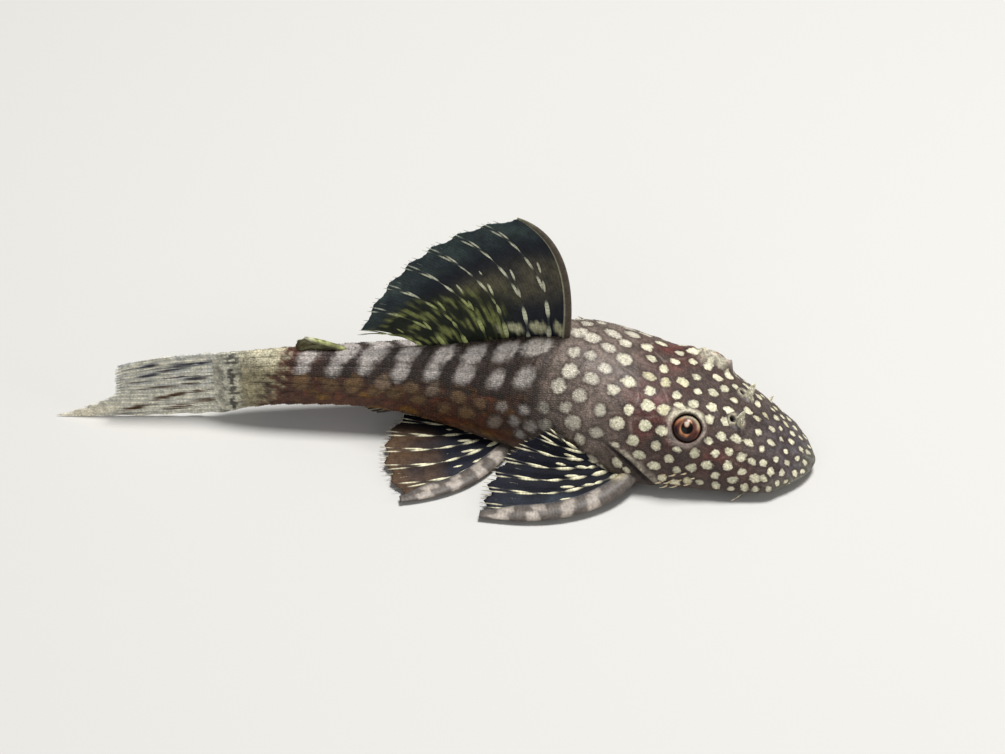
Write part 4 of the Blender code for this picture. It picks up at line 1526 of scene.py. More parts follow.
# The tail fin, half closed, with a long lower lobe, in fractions of the standard length.
TAIL_RAYS = 16
TAIL_ROOT = 0.988
TAIL_ROOT_TOP = 0.142
TAIL_ROOT_BOTTOM = 0.015
TAIL_UPPER_REACH = 1.180
TAIL_LOWER_EXTRA = 0.112
TAIL_LOWER_FROM = 0.62
TAIL_TIP_TOP = 0.112
TAIL_TIP_BOTTOM = 0.004

# Webs and rays: counts, the half thicknesses and dashes in millimetres, the rest as shares of a ray.
WEB_ROWS = 64
WEB_PER_RAY = 12
WEB_HALF = (0.085, 0.035)
ROD_SIDES = 8
BRANCH_AT = 0.28
TWIG_AT = 0.62
RAY_SAMPLES = 60
STEM_RINGS = 26
BRANCH_RINGS = 20
TWIG_RINGS = 22
SPINE_RINGS = 110
SPINE_SIDES = 20
SPINE_END = 0.995
DASH_GAP = 2.75
DASH_HALF = 0.92


class Fan:
    """A fin's middle surface, from the first ray at 0 to the last at 1 and from root to tip."""

    def __init__(self, layout, side=1.0):
        self.first = np.array(layout["first"], float)
        self.last = np.array(layout["last"], float)
        self.margin = np.array(layout["margin"], float)
        self.side = side
        self.count = layout["rays"]
        folded = side > 0.0 and "left_fold" in layout
        self.fold = layout["left_fold"] if folded else 0.0
        self.rise = layout["left_rise"] if folded else 0.0

    def at(self, t, s):
        t, s = (np.asarray(v, float)[..., None] for v in np.broadcast_arrays(t, s))
        first, last = self.first, self.last
        tip = (1 - t) ** 2 * first[2] + 2 * t * (1 - t) * self.margin + t**2 * last[2]
        root = first[0] * (1 - t) + last[0] * t
        sag = (first[1] - (first[0] + first[2]) * 0.5) * (1 - t)
        sag = sag + (last[1] - (last[0] + last[2]) * 0.5) * t
        ray = (1 - s) ** 2 * root + 2 * s * (1 - s) * ((root + tip) * 0.5 + sag) + s**2 * tip
        turn = self.fold * (1.0 - t[..., 0])
        along, across = ray[..., 0] - first[0, 0], ray[..., 1] - first[0, 1]
        place = first[0, 0] + along * np.cos(turn) - across * np.sin(turn)
        beside = first[0, 1] + along * np.sin(turn) + across * np.cos(turn)
        return place, beside * self.side, ray[..., 2] + s[..., 0] ** 2 * self.rise

    def point(self, t, s):
        return body_point(*self.at(t, s))

    def frame_at(self, t, s):
        """Points with the directions toward the last ray, toward the tip and out of the surface."""
        step = 0.004
        across = self.point(t + step, s) - self.point(t - step, s)
        along = unit(self.point(t, s + step) - self.point(t, s - step))
        out = unit(np.cross(across, along))
        return self.point(t, s), np.cross(along, out), along, out


class TailFan(Fan):
    """The tail fin's middle surface."""

    def __init__(self):
        self.count = TAIL_RAYS

    def at(self, t, s):
        t, s = (np.asarray(v, float) for v in np.broadcast_arrays(t, s))
        inside = np.clip(t, 0.0, 1.0)
        lower = np.maximum(0.0, (inside - TAIL_LOWER_FROM) / (1.0 - TAIL_LOWER_FROM))
        bulge = np.sin(math.pi * inside)
        reach = TAIL_UPPER_REACH + 0.006 * bulge + TAIL_LOWER_EXTRA * lower**1.6
        tip = (TAIL_TIP_TOP - TAIL_TIP_BOTTOM) * (1 - inside) ** 1.15 + TAIL_TIP_BOTTOM
        tip = tip + 0.028 * bulge * inside + (inside - t) * 0.1
        root = TAIL_ROOT_TOP * (1 - t) + TAIL_ROOT_BOTTOM * t
        middle = (root + tip) * 0.5 + 0.014 * (1 - 1.6 * t)
        height = (1 - s) ** 2 * root + 2 * s * (1 - s) * middle + s**2 * tip
        return TAIL_ROOT + (reach - TAIL_ROOT) * s, np.zeros(t.shape), height


def tube(shape, path, wide, thick, half_wide, half_thick, values, sides=ROD_SIDES):
    """A closed rod along a path, with its own width and thickness at each ring."""
    rings = len(path)
    angle = TURN * np.arange(sides) / sides
    ring = np.cos(angle)[None, :, None] * (wide * half_wide[:, None])[:, None, :]
    ring = ring + np.sin(angle)[None, :, None] * (thick * half_thick[:, None])[:, None, :]
    points = path[:, None, :] + ring
    off_floor(points)
    quads = grid_quads(rings, sides, wrap=True)
    half = sides // 2
    caps = []
    for base, way in ((0, 1), ((rings - 1) * sides, -1)):
        for k in range(half - 1):
            quad = [base + k, base + k + 1, base + sides - 2 - k, base + (sides - 1 - k) % sides]
            caps.append(quad[::-1] if way < 0 else quad)
    caps = np.array(caps)
    sign = np.sum(np.cross(path[1] - path[0], wide[0]) * thick[0])
    quads = quads if sign > 0.0 else quads[:, ::-1]
    caps = caps[:, ::-1] if sign > 0.0 else caps
    shape.add(points, np.concatenate([quads, caps]), values=values(points))


def one_colour(code, points):
    """The values of a rod in one colour."""
    return {"ground": plain(code, points[..., 0]).reshape(-1, 3)}


def run_lengths(points):
    """Distance in millimetres along rows of points from the first."""
    steps = np.linalg.norm(np.diff(points, axis=0), axis=-1)
    return np.concatenate([np.zeros((1,) + steps.shape[1:]), np.cumsum(steps, axis=0)]) / MM


def dash_share(from_tip, phase):
    """1 in the middle of a pale dash, falling to 0 at its ends, in rows parallel to the margin."""
    away = np.abs(np.mod(from_tip + phase + DASH_GAP * 0.5, DASH_GAP) - DASH_GAP * 0.5)
    return fading(DASH_HALF * 0.40, DASH_HALF * 1.20, away)


def add_rays(shape, fan, layout, pigment, start, seed):
    """The branched rays after the first: a stem, two branches and four twigs each."""
    draws = np.random.default_rng(seed)
    gap = 1.0 / (fan.count - 1)
    wide_root, wide_tip = layout["ray_width"]
    for number in range(start, fan.count):
        phase = draws.uniform(-0.9, 0.9)
        end = draws.uniform(0.985, 1.0)
        middle = number * gap
        if number == fan.count - 1:
            middle -= 0.10 * gap
        line = fan.point(np.full(RAY_SAMPLES, middle), np.linspace(0.0, 1.0, RAY_SAMPLES))
        length = run_lengths(line)[-1]
        parts = [(0.0, BRANCH_AT + 0.03, 0.0, 0.0, STEM_RINGS)]
        parts += [(BRANCH_AT, TWIG_AT + 0.02, a, 0.0, BRANCH_RINGS) for a in (-1.0, 1.0)]
        parts += [(TWIG_AT, end, a, b, TWIG_RINGS) for a in (-1.0, 1.0) for b in (-1.0, 1.0)]
        for low, high, branch, twig, rings in parts:
            s = np.linspace(low, high, rings)
            t = middle + gap * (
                branch * layout["spread"][0] * smooth(BRANCH_AT - 0.08, 0.66, s)
                + twig * layout["spread"][1] * smooth(TWIG_AT - 0.04, 1.0, s)
            )
            path, across, _, out = fan.frame_at(t, s)
            width = wide_root + (wide_tip - wide_root) * s**0.8
            width = width * (1.0 if branch == 0.0 else 0.80 if twig == 0.0 else 0.62)
            pale = dash_share((1.0 - s) * length - 0.9 + 0.35 * branch + 0.3 * twig, phase)
            width = width * (0.72 + 0.62 * pale)
            thick = width * 0.80
            ends = np.minimum(1.0, 0.25 + 4.0 * np.minimum(s - low, high - s) / (high - low))
            width, thick = width * ends, thick * ends

            def values(points, t=t, s=s, pale=pale, length=length):
                count = points.shape[1]
                colour = pigment(t, s, s * length, "ray", pale)
                return {
                    "ground": np.repeat(colour, count, axis=0),
                    "run": np.repeat(s * length, count),
                    "rib": np.ones(len(s) * count),
                }

            tube(shape, path, across, out, width * MM, thick * MM, values)


def add_spine(shape, fan, layout, pigment):
    """The broad first ray, with its outer edge on the fin's own edge."""
    s = np.linspace(0.0, SPINE_END, SPINE_RINGS)
    width = monotone_curve(SPINE_KNOTS, layout["spine_width"])(s)
    thick = monotone_curve(SPINE_KNOTS, layout["spine_thick"])(s)
    path, across, _, out = fan.frame_at(np.zeros(SPINE_RINGS), s)
    path = path + across * (width * 0.92 * MM)[:, None]
    length = run_lengths(path)[-1]
    angle = TURN * np.arange(SPINE_SIDES) / SPINE_SIDES

    def values(points):
        around = np.broadcast_to(np.cos(angle)[None], points.shape[:2])
        run = np.broadcast_to((s * length)[:, None], points.shape[:2])
        share = np.broadcast_to(s[:, None], points.shape[:2])
        colour = pigment(around, share, run, "spine", None)
        return {
            "ground": colour.reshape(-1, 3),
            "run": run.ravel(),
            "rib": np.full(run.size, 0.5),
        }

    tube(shape, path, across, out, width * MM, thick * MM, values, SPINE_SIDES)


def make_web(name, fan, pigment, material, slot, node, reach=0.975):
    """The thin web between the rays, scalloped along its margin."""
    columns = (fan.count - 1) * WEB_PER_RAY + 1
    t = np.linspace(0.0, 1.0, columns)[:, None]
    share = np.linspace(0.0, 1.0, WEB_ROWS)[None, :]
    within = np.mod(t * (fan.count - 1), 1.0)
    scallop = np.sin(math.pi * within) ** 2
    frill = 0.5 - 0.5 * np.cos(TURN * within * 4.0)
    limit = reach - 0.030 * scallop - 0.008 * frill
    s = share * limit
    t = np.broadcast_to(t, s.shape)
    points, _, _, out = fan.frame_at(t, s)
    length = run_lengths(np.swapaxes(points, 0, 1))
    run = np.swapaxes(length, 0, 1)
    wave = 0.05 * np.sin(TURN * within) * smooth(0.1, 0.5, s)
    half = WEB_HALF[0] + (WEB_HALF[1] - WEB_HALF[0]) * share
    upper = points + out * ((wave + half) * MM)[..., None]
    lower = points + out * ((wave - half) * MM)[..., None]
    off_floor(upper, FLOOR_CLEARANCE + 0.04 * MM)
    off_floor(lower)
    flat, quads = closed_sheet(upper, lower)
    colour = pigment(t, s, run, "web", None).reshape(-1, 3)
    values = {
        "ground": np.concatenate([colour, colour]),
        "run": np.tile(run.ravel(), 2),
        "rib": np.zeros(len(flat)),
        "fibre": np.tile((t * (fan.count - 1)).ravel(), 2),
    }
    shape = Shape()
    shape.add(flat, quads, values=values)
    settle(shape.build(name, material), slot, node)


def spotted_edge(run, centres, half):
    """How far a place along a spine is in one of its pale blotches."""
    total = np.zeros(np.shape(run))
    for centre in centres:
        total = np.maximum(total, fading(half * 0.55, half * 1.2, np.abs(run - centre)))
    return total


def dorsal_pigment(t, s, run, part, pale):
    """Colours of the dorsal fin: smoky webs, cream dashes, and low behind, pale blotches tinted
    yellow-green by painted light shining through them.
    """
    if part == "spine":
        around = t
        return painted(
            plain("4b4237", around),
            ("b9b898", 0.9 * smooth(0.30, 0.80, around)),
            ("7d7b62", 0.5 * smooth(0.75, 0.95, s)),
        )
    # Low behind, the web and rays take a yellow-green of painted light shining through the fin; the pale
    # blotches there are the fin's own.
    green_lit_rear = smooth(0.26, 0.50, t) * fading(0.22, 0.44, s - 0.52 * t**2)
    grain = flat_ripple(t * 0.02, s * 0.02, 0.0042, 41)
    streaks = flat_ripple(t * 0.085, s * 0.013, 0.0032, 42)
    if part == "ray":
        bright = toward(plain("dcdcc0", t), "a0a860", 0.9 * green_lit_rear)
        bright = toward(bright, "a9b3a6", 0.7 * smooth(0.78, 0.95, s))
        return painted(
            plain("33373a", t),
            ("39421c", 0.8 * green_lit_rear),
            ("3a4440", smooth(0.70, 0.95, s)),
            (bright, pale * 0.95),
        )
    cloud = bell(s, 0.40 + 0.05 * t, 0.13) * fading(0.45, 0.75, t)
    patch = smooth(0.0, 0.9, 0.5 * grain + 0.8 * streaks) * green_lit_rear
    across = (np.mod(t * 7.0, 1.0) - 0.5 + 0.15 * grain) / 0.36
    up = (s - 0.085 - 0.08 * t + 0.012 * streaks) / 0.040
    base = fading(0.6, 1.2, np.hypot(across, up)) * fading(0.45, 0.5, t)
    return painted(
        plain("181d27", t),
        ("625c4a", np.clip(cloud * (0.75 + 0.3 * grain), 0.0, 1.0)),
        ("43504f", 0.75 * smooth(0.62, 0.85, s) * (0.8 + 0.3 * grain)),
        ("1f2417", 0.85 * green_lit_rear),
        ("858b50", 0.85 * patch),
        ("bdbb97", 0.9 * base),
    )


def paired_pigment(web, near_spine, outer, blotches, root_blob):
    """Colours of a pectoral or pelvic fin: a mottled spine, cream dashes and dark webs."""

    def pigment(t, s, run, part, pale):
        grain = flat_ripple(t * 0.02, s * 0.02, 0.0060, 43)
        if part == "spine":
            uneven = 0.35 * flat_ripple(t * 0.001, run * MM, 1.4 * MM, 44)
            spots = spotted_edge(run + 0.4 * t + uneven, blotches, 0.78)
            spots = spots * (1.0 - 0.75 * smooth(0.35, 0.9, t))
            return painted(
                plain("5c544d", t),
                ("43474e", 0.6 * smooth(0.2, 0.9, t)),
                ("aea397", 0.75 * spots),
                ("cfc3a0", root_blob * bell(run, 2.4, 0.9) * smooth(-0.2, 0.6, t)),
            )
        if part == "ray":
            bright = toward(plain("ddd7b4", t), "b7b096", smooth(0.80, 0.97, s))
            return painted(
                plain("35322f", t),
                (outer, 0.55 * smooth(0.70, 0.95, s)),
                ("8d8470", 0.8 * fading(0.05, 0.16, s)),
                (bright, pale * 0.95),
            )
        rim = 0.85 * smooth(0.55, 0.9, s + 0.08 * grain)
        return painted(
            plain(web, t),
            (near_spine, 0.9 * fading(0.05, 0.36, t + 0.05 * grain)),
            (outer, rim * fading(0.7, 0.95, t)),
        )

    return pigment


# Dark streaks of the tail fin: share across from the top ray, share outward, lengths of both.
TAIL_STREAKS = (
    (0.13, 0.36, 0.035, 0.17),
    (0.22, 0.50, 0.030, 0.15),
    (0.10, 0.70, 0.030, 0.10),
    (0.40, 0.28, 0.040, 0.10),
    (0.36, 0.46, 0.030, 0.09),
    (0.50, 0.38, 0.035, 0.08),
    (0.55, 0.62, 0.030, 0.12),
    (0.62, 0.30, 0.040, 0.07),
    (0.68, 0.46, 0.035, 0.07),
    (0.74, 0.56, 0.035, 0.06),
    (0.80, 0.22, 0.045, 0.06),
    (0.88, 0.36, 0.045, 0.07),
    (0.90, 0.66, 0.060, 0.05),
    (0.40, 0.80, 0.030, 0.10),
    (0.28, 0.72, 0.030, 0.10),
)


def tail_pigment(t, s, run, part, pale):
    """Colours of the tail fin: cream with grey-blue streaks, a dark bar at its base, a white tip."""
    if part == "spine":
        return plain("d9d3bd", t)
    grain = flat_ripple(t * 0.05, s * 0.012, 0.0040, 47)
    hair = flat_ripple(t * 0.05, s * 0.004, 0.0017, 48)
    cool = smooth(-0.2, 0.6, grain) * fading(0.45, 0.70, t)
    streak = np.zeros(np.shape(t))
    colour = painted(
        plain("efead6" if part == "ray" else "d6d3c2", t),
        ("a0a3a6", 0.45 * smooth(-0.1, 0.8, hair)),
        ("a9b0b8", 0.40 * cool),
    )
    for across, out, half_t, half_s in TAIL_STREAKS:
        bent = (t - across - 0.10 * (s - out) + 0.012 * grain) / (half_t * 1.10)
        blot = np.exp(-(bent**2) - ((s - out + 0.03 * grain) / (half_s * 1.45)) ** 2)
        streak = np.maximum(streak, blot)
    streak = smooth(0.22, 0.95, streak + 0.30 * hair)
    warm = smooth(0.35, 0.60, t)
    dark = toward(plain("2b2c3c", t), "4f3416", warm)
    bar = bell(s, 0.025, 0.060) * smooth(-0.15, 0.25, hair)
    lobe = smooth(0.80, 0.95, t) * smooth(0.70, 0.80, s)
    return painted(
        colour,
        (dark, 0.97 * streak),
        ("2a2822", 0.85 * np.clip(bar, 0.0, 1.0)),
        ("f2ead2", lobe),
    )


def adipose_pigment(t, s, run, part, pale):
    """Colours of the adipose fin, yellow-green along its top."""
    mottle = flat_ripple(t * 0.0006, s * 0.0045, 0.7 * MM, 49)
    colour = plain("716f50", t)
    if part == "spine":
        return painted(
            colour,
            ("a3a868", 0.85 * smooth(0.0, 0.8, -t)),
            ("c0bda4", 0.8 * smooth(0.80, 0.95, s)),
            ("3a3322", 0.75 * smooth(0.0, 0.7, mottle)),
            ("2c241a", 0.7 * bell(s, 0.50, 0.12)),
        )
    return toward(colour, "4f4731", smooth(0.2, 0.8, t + 0.4 * mottle))


def anal_pigment(t, s, run, part, pale):
    """Colours of the anal fin: grey-brown with cream dashes."""
    colour = plain("4b4338", t)
    if part == "ray":
        colour = toward(colour, "d3cdb0", pale * 0.9)
    return colour


def fin_material(name, alpha, rough, shine):
    """Fins: the colours of webs and rays, with fine fibres, grain and the joints of the rays."""
    n = Nodes(name)
    fine = n.noise(4200.0, 3.0, 0.6)
    joints = n.times(n.math("SINE", n.times(n.value("run"), TURN / 0.36)), n.value("rib"))
    fibre = n.math("SINE", n.times(n.value("fibre"), TURN * 9.0))
    colour = n.shaded(n.colour("ground"), fine, 0.3, 0.7, 0.74, 1.26)
    colour = n.shaded(colour, n.noise(1300.0, 3.0, 0.6), 0.32, 0.68, 0.72, 1.28)
    colour = n.shaded(colour, joints, -1.0, 1.0, 0.90, 1.07)
    colour = n.shaded(colour, fibre, -1.0, 1.0, 0.90, 1.10)
    height = n.plus(n.times(joints, 0.35), n.plus(fine, n.times(fibre, 0.3)))
    normal = n.bump(height, 0.40, 0.00004)
    return n.finish(
        Base_Color=colour,
        Roughness=rough,
        Normal=normal,
        Specular_IOR_Level=shine,
        Alpha=alpha,
    )


PECTORAL_BLOTCHES = (6.5, 9.4, 13.1, 16.5, 19.6)
PELVIC_BLOTCHES = (3.9, 6.8, 10.2, 13.2)


def make_fins():
    """All fins, each a thin web with its rays."""
    web_material = fin_material("fin_web", 0.95, 0.62, 0.14)
    ray_material = fin_material("fin_rays", 1.0, 0.48, 0.30)
    pectoral = paired_pigment("0b0d16", "3b434d", "1c1c26", PECTORAL_BLOTCHES, 0.9)
    pelvic = paired_pigment("13151f", "292a35", "57422f", PELVIC_BLOTCHES, 0.0)
    jobs = [
        ("dorsal_fin", "dorsal_fin", 1.0, dorsal_pigment),
        ("adipose_fin", "adipose_fin", 1.0, adipose_pigment),
        ("anal_fin", "anal_fin", 1.0, anal_pigment),
    ]
    for side_name, side in SIDES.items():
        jobs.append(("pectoral_fin", f"pectoral_fin_{side_name}", side, pectoral))
        jobs.append(("pelvic_fin", f"pelvic_fin_{side_name}", side, pelvic))
    for seed, (kind, node, side, pigment) in enumerate(jobs):
        layout = FINS[kind]
        fan = Fan(layout, side)
        make_web(f"{node}_web", fan, pigment, web_material, "fin", node)
        shape = Shape()
        add_rays(shape, fan, layout, pigment, 1, 500 + seed)
        add_spine(shape, fan, layout, pigment)
        settle(shape.build(f"{node}_rays", ray_material), "fin", node)
    tail_layout = {"ray_width": (0.22, 0.09), "spread": (0.22, 0.10)}
    fan = TailFan()
    make_web("caudal_fin_web", fan, tail_pigment, web_material, "tail_fin", "caudal_fin", 0.98)
    shape = Shape()
    add_rays(shape, fan, tail_layout, tail_pigment, 0, 600)
    settle(shape.build("caudal_fin_rays", ray_material), "tail_fin", "caudal_fin")


# Eyes, in millimetres.
EYEBALL = 1.84
IRIS_RADIUS = 1.36
PUPIL_RADIUS = 0.62
EYE_ROWS = 84
EYE_COLUMNS = 112


def make_eye(side_name, side, material):
    """The eyeball: a dark pupil with a flap let down from above, in a coppery iris."""
    centre, outward, up, forward = EYES[side]
    rows, columns = EYE_ROWS, EYE_COLUMNS
    polar = math.pi * np.linspace(0.0, 1.0, rows) ** 1.45
    angle = TURN * np.arange(columns) / columns
    polar, angle = np.meshgrid(polar, angle, indexing="ij")
    rho = EYEBALL * np.sin(polar)
    x, y = rho * np.cos(angle), rho * np.sin(angle)
    front = polar < math.pi / 2.0
    flap = np.hypot((x - 0.05) / 0.30, (y - 0.52) / 0.46) - 1.0
    pupil = np.minimum((PUPIL_RADIUS - rho) / 0.05, flap * 0.30 / 0.05)
    pupil = np.where(front, smooth(-1.0, 1.0, pupil), 0.0)
    depth = EYEBALL * np.cos(polar) - 0.05 * pupil
    depth = depth - 0.04 * np.where(front, bell(rho, 0.0, 1.2), 0.0)
    points = centre + (outward * depth[..., None] + up * y[..., None] + forward * x[..., None]) * MM
    fibres = np.sin(angle * 46.0 + 3.0 * np.sin(angle * 5.0)) * smooth(0.6, 0.9, rho)
    cloud = ripple(points, 1.1 * MM, 61)
    ring = bell(rho, 0.74, 0.08) * smooth(-0.7, 0.5, cloud)
    colour = painted(
        plain("55322a", rho),
        ("a56d4c", smooth(-0.3, 0.8, cloud)),
        ("bb8a60", 0.75 * ring * (1.0 - pupil)),
        ("3c2019", 0.8 * bell(rho, 1.08, 0.16) * smooth(-0.4, 0.5, -y)),
        ("b7ab90", 0.75 * bell(rho, 1.20, 0.20) * smooth(0.2, 1.0, y - 0.5 * x)),
    )
    colour = colour * (1.0 + 0.14 * fibres)[..., None]
    # Painted shade: a dark crescent over the lower front rim of the iris.
    painted_shade = bell(rho, 1.18, 0.20) * smooth(0.1, 0.9, (x - y) / 1.4)
    colour = painted(
        colour,
        ("181620", 0.9 * painted_shade),
        ("1c100e", smooth(IRIS_RADIUS - 0.16, IRIS_RADIUS + 0.02, rho)),
        ("bdb6a6", 0.9 * smooth(0.0, 0.5, -flap) * (rho < 0.66)),
        ("050404", pupil),
    )
    colour = np.where(front[..., None], colour, tint("241512"))
    quads = outward_quads(points.reshape(-1, 3), grid_quads(rows, columns, wrap=True))
    shape = Shape()
    shape.add(points, quads, values={"ground": colour.reshape(-1, 3)})
    settle(shape.build(f"eye_{side_name}", material), "eye", f"eye_{side_name}")


def eye_material():
    """The eye's colours under a clear, glossy film."""
    n, colour, _ = grained("eye", 6000.0, 2.0, 0.6, 0.85, 1.15)
    return n.finish(
        Base_Color=colour,
        Roughness=0.35,
        Specular_IOR_Level=0.15,
        Coat_Weight=0.6,
        Coat_Roughness=0.03,
        Coat_IOR=1.22,
    )


# Mouth, in millimetres: the lips with their papillae, the opening, and its two bars of teeth.
LIP_RINGS = 40
LIP_COLUMNS = 180
LIP_TOP = 0.80
LIP_UNDER = 0.10
LIP_DOME = 0.168
PAPILLA = 0.16
GAPE_HALVES = (0.75, 1.75)
GAPE_DEPTH = 0.55
TEETH_PER_BAR = 34
TOOTH_BAR = 2.4
TOOTH_ROOT = 0.42
TOOTH_LENGTH = 0.30
TOOTH_HALVES = 0.028 * np.array((1.0, 1.0, 0.9, 0.9, 1.0, 0.5))


def make_mouth():
    """The sucker: a soft disc with papillae round a narrow opening with two rows of teeth."""
    centre = body_point(MOUTH_AT, 0.0, 0.0)
    forward = forward_at(MOUTH_AT)
    left = np.array((-forward[1], forward[0], 0.0))
    share = np.linspace(0.0, 1.0, LIP_RINGS)[:, None]
    angle = TURN * np.arange(LIP_COLUMNS)[None, :] / LIP_COLUMNS
    uneven = 1.0 + 0.015 * np.sin(angle * 19.0) + 0.010 * np.sin(angle * 31.0 + 1.0)
    x = share * MOUTH_HALF_LENGTH * np.cos(angle) * uneven
    y = share * MOUTH_HALF_WIDTH * np.sin(angle) * uneven
    opening = fading(0.9, 1.25, np.hypot(x / (GAPE_HALVES[0] * MM), y / (GAPE_HALVES[1] * MM)))
    shift = np.floor(x / (0.5 * MM)) * 1.6
    bumps = np.sin(x / (PAPILLA * MM)) * np.sin(y / (PAPILLA * MM) + shift)
    under = LIP_UNDER + LIP_DOME * (1.0 - share**2)
    under = under + 0.09 * bumps * smooth(0.25, 0.4, share) * fading(0.90, 1.0, share)
    under = under + GAPE_DEPTH * opening + 0.20 * smooth(0.93, 1.0, share)
    upper = centre + forward * x[..., None] + left * y[..., None]
    lower = upper.copy()
    lower[..., 2] = np.maximum(under, 0.03) * MM
    upper[..., 2] = np.maximum(LIP_TOP - 0.25 * smooth(0.80, 1.0, share), under + 0.05) * MM
    points, quads = closed_sheet(lower, upper, wrap=True)
    shape = Shape()
    colour = painted(
        plain("a08a74", opening),
        ("c3b294", smooth(0.0, 1.0, bumps)),
        ("6d5548", fading(0.18, 0.34, share)),
        # Painted shade: the mouth's opening dark brown inside.
        ("2a1815", opening),
        ("8a8672", smooth(0.90, 1.0, share)),
    )
    shape.add(points, quads, values={"ground": np.tile(colour.reshape(-1, 3), (2, 1))})
    draws = np.random.default_rng(9)
    rings = len(TOOTH_HALVES)
    down = np.linspace(0.0, 1.0, rings)[:, None] * (0.0, 0.0, -TOOTH_LENGTH * MM)
    bend = np.linspace(0.0, 1.0, rings)[:, None] ** 2 * forward * 0.22 * MM
    wide, thick = (np.repeat(way[None], rings, axis=0) for way in (left, forward))
    for way in (1.0, -1.0):
        for k in range(TEETH_PER_BAR):
            across = (k / (TEETH_PER_BAR - 1.0) - 0.5) * TOOTH_BAR * MM
            ahead = way * 0.62 * MM * math.cos(across / (1.9 * MM))
            root = centre + forward * ahead + left * across
            root[2] = TOOTH_ROOT * MM
            path = root + down - bend * way
            off_floor(path, 0.06 * MM)
            half = TOOTH_HALVES * MM * draws.uniform(0.9, 1.1)
            tube(shape, path, wide, thick, half, half, lambda points: one_colour("c9973f", points), 6)
    n, base, grain = grained("mouth", 3000.0, 3.0, 0.6, 0.82, 1.18)
    normal = n.bump(grain, 0.5, 0.00006)
    material = n.finish(Base_Color=base, Roughness=0.4, Normal=normal, Coat_Weight=0.2, Coat_Roughness=0.2)
    settle(shape.build("mouth_disc", material), "mouth", "mouth_disc")


# Hooked spines of the cheek plates: place, share of the way down the side, and length in millimetres.
CHEEK_SPINES = (
    (0.176, 0.91, 0.45),
    (0.184, 0.99, 0.60),
    (0.190, 0.88, 0.55),
    (0.197, 0.96, 0.75),
    (0.203, 1.04, 0.80),
    (0.207, 0.91, 0.70),
    (0.214, 0.99, 0.90),
    (0.219, 1.06, 0.80),
    (0.223, 0.93, 0.65),
    (0.229, 1.01, 0.70),
)
CHEEK_HALF = 0.125
CHEEK_RINGS = 14


def make_cheek_spines():
    """The short amber spines that point back from each cheek plate."""
    shape = Shape()
    draws = np.random.default_rng(91)
    share = np.linspace(0.0, 1.0, CHEEK_RINGS)
    half = CHEEK_HALF * MM * (1.0 - 0.85 * share**1.3)
    pale = np.repeat(share, ROD_SIDES)
    colour = toward(plain("b4945c", pale), "f2e7cb", pale)
    values = {"ground": colour * (0.7 + 0.3 * smooth(0.0, 0.35, pale))[:, None]}
    rise = (1.05 * share - 0.48 * share**2)[:, None]
    reach = (0.35 * share + 0.65 * share**2)[:, None]
    for side in SIDES.values():
        turns = np.linspace(0.3, AT_BACK, 300) if side < 0.0 else np.linspace(AT_BACK, 3.7, 300)
        for place, flank, length in CHEEK_SPINES:
            down = look_up(FLANK, np.full(len(turns), place), turns)
            s = surface_at(np.array([place]), turns[[np.abs(down - flank).argmin()]])
            root, out = finished(s)[0], s.normal[0]
            back = unit(np.array((0.0, 0.0, -0.25)) - forward_at(place))
            length = length * draws.uniform(0.75, 1.05) * MM
            path = root - out * 0.10 * MM + out * length * rise + back * length * reach
            along = unit(np.gradient(path, axis=0))
            wide = unit(np.cross(along, out))
            tube(shape, path, wide, np.cross(along, wide), half, half, lambda points: values)
    n, base, _ = grained("cheek_spine", 5200.0, 2.0, 0.5, 0.85, 1.15)
    material = n.finish(Base_Color=base, Roughness=0.28, Specular_IOR_Level=0.5)
    settle(shape.build("cheek_spines", material), "skin")


# Stage, camera and light. A lamp has its place, its disc's size and its power.
CAMERA_ELEVATION = math.radians(42.5)
CAMERA_DISTANCE = 0.300
CAMERA_TARGET = (-0.0059, 0.0069, 0.0)
CAMERA_LENS = 100.0
FLOOR_SIZE = 3.0
LIGHTS = {
    "key": ((0.09, 0.05, 0.50), 0.16, 3.3),
    "fill": ((-0.20, -0.45, 0.30), 0.40, 0.45),
    "side": ((0.45, -0.15, 0.20), 0.25, 0.35),
}
SKY_COLOUR = (0.9, 0.93, 1.0, 1.0)
SKY_STRENGTH = 0.22


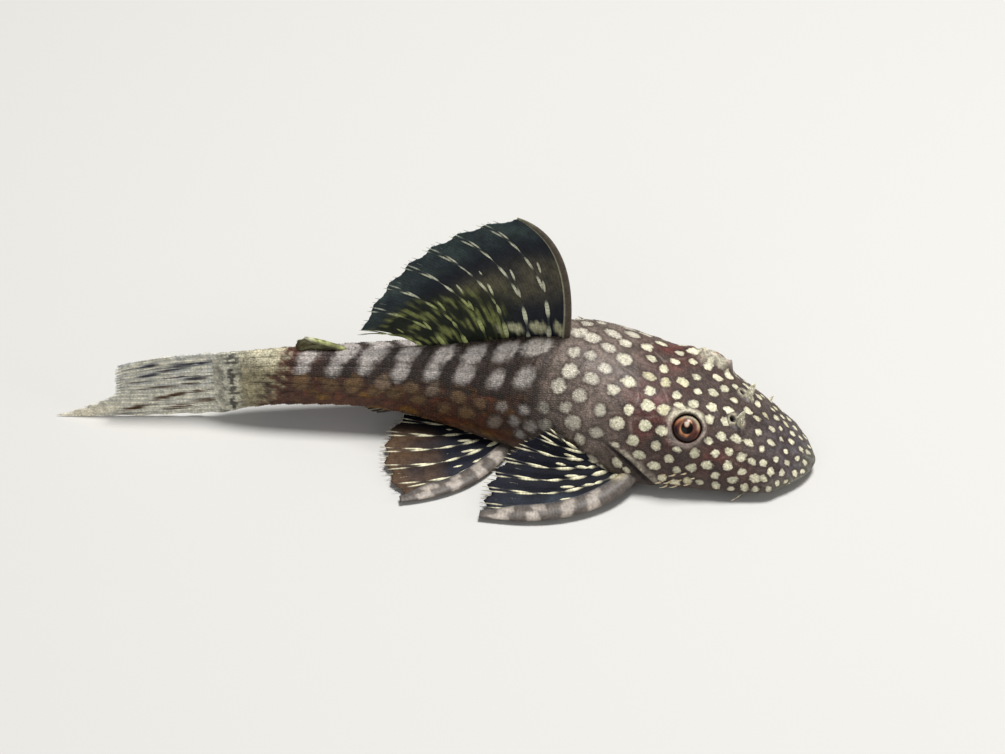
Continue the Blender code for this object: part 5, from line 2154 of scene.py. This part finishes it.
def make_stage():
    """The plain pale floor."""
    bpy.ops.mesh.primitive_plane_add(size=FLOOR_SIZE, location=(0.0, 0.0, 0.0))
    floor = bpy.context.object
    floor.name = "floor"
    n = Nodes("floor")
    floor.data.materials.append(n.finish(Base_Color=tint("c9c7c2"), Roughness=0.8, Specular_IOR_Level=0.2))


def area_light(name, place, size, power):
    """A round lamp that looks at the middle of the floor."""
    data = bpy.data.lights.new(name, "AREA")
    data.shape = "DISK"
    data.size = size
    data.energy = power
    light = bpy.data.objects.new(name, data)
    bpy.context.scene.collection.objects.link(light)
    light.location = place
    aim(light, (0.0, 0.0, 0.0))


def aim(obj, target):
    """Turns a camera or light to look at a point."""
    away = np.array(target, float) - np.array(obj.location)
    flat = math.hypot(away[0], away[1])
    obj.rotation_euler = (math.atan2(flat, -away[2]), 0.0, math.atan2(-away[0], away[1]))


def make_lights():
    """Soft lamps and a pale sky."""
    for name, (place, size, power) in LIGHTS.items():
        area_light(name, place, size, power)
    world = bpy.data.worlds.new("studio")
    bpy.context.scene.world = world
    world.use_nodes = True
    background = world.node_tree.nodes["Background"]
    background.inputs["Color"].default_value = SKY_COLOUR
    background.inputs["Strength"].default_value = SKY_STRENGTH
    bpy.context.scene.view_settings.view_transform = "Standard"


def make_camera():
    """The camera, at the photo's viewing angle."""
    data = bpy.data.cameras.new("camera")
    data.lens = CAMERA_LENS
    data.clip_start = 0.01
    camera = bpy.data.objects.new("camera", data)
    bpy.context.scene.collection.objects.link(camera)
    away = np.array((0.0, -math.cos(CAMERA_ELEVATION), math.sin(CAMERA_ELEVATION)))
    camera.location = tuple(np.array(CAMERA_TARGET) + CAMERA_DISTANCE * away)
    aim(camera, CAMERA_TARGET)
    bpy.context.scene.camera = camera


def main():
    """Builds the stage and all pieces."""
    make_stage()
    make_lights()
    make_camera()
    shape, spots = make_skin()
    skin = shape.build("skin", skin_material("skin", coat=False), "OFBake")
    settle(skin, "skin", "head", "trunk", "tail_stalk", "barbel_right", "barbel_left")
    make_coat(skin_material("denticles", coat=True), spots)
    make_fins()
    glass = eye_material()
    for side_name, side in SIDES.items():
        make_eye(side_name, side, glass)
    make_mouth()
    make_cheek_spines()


main()
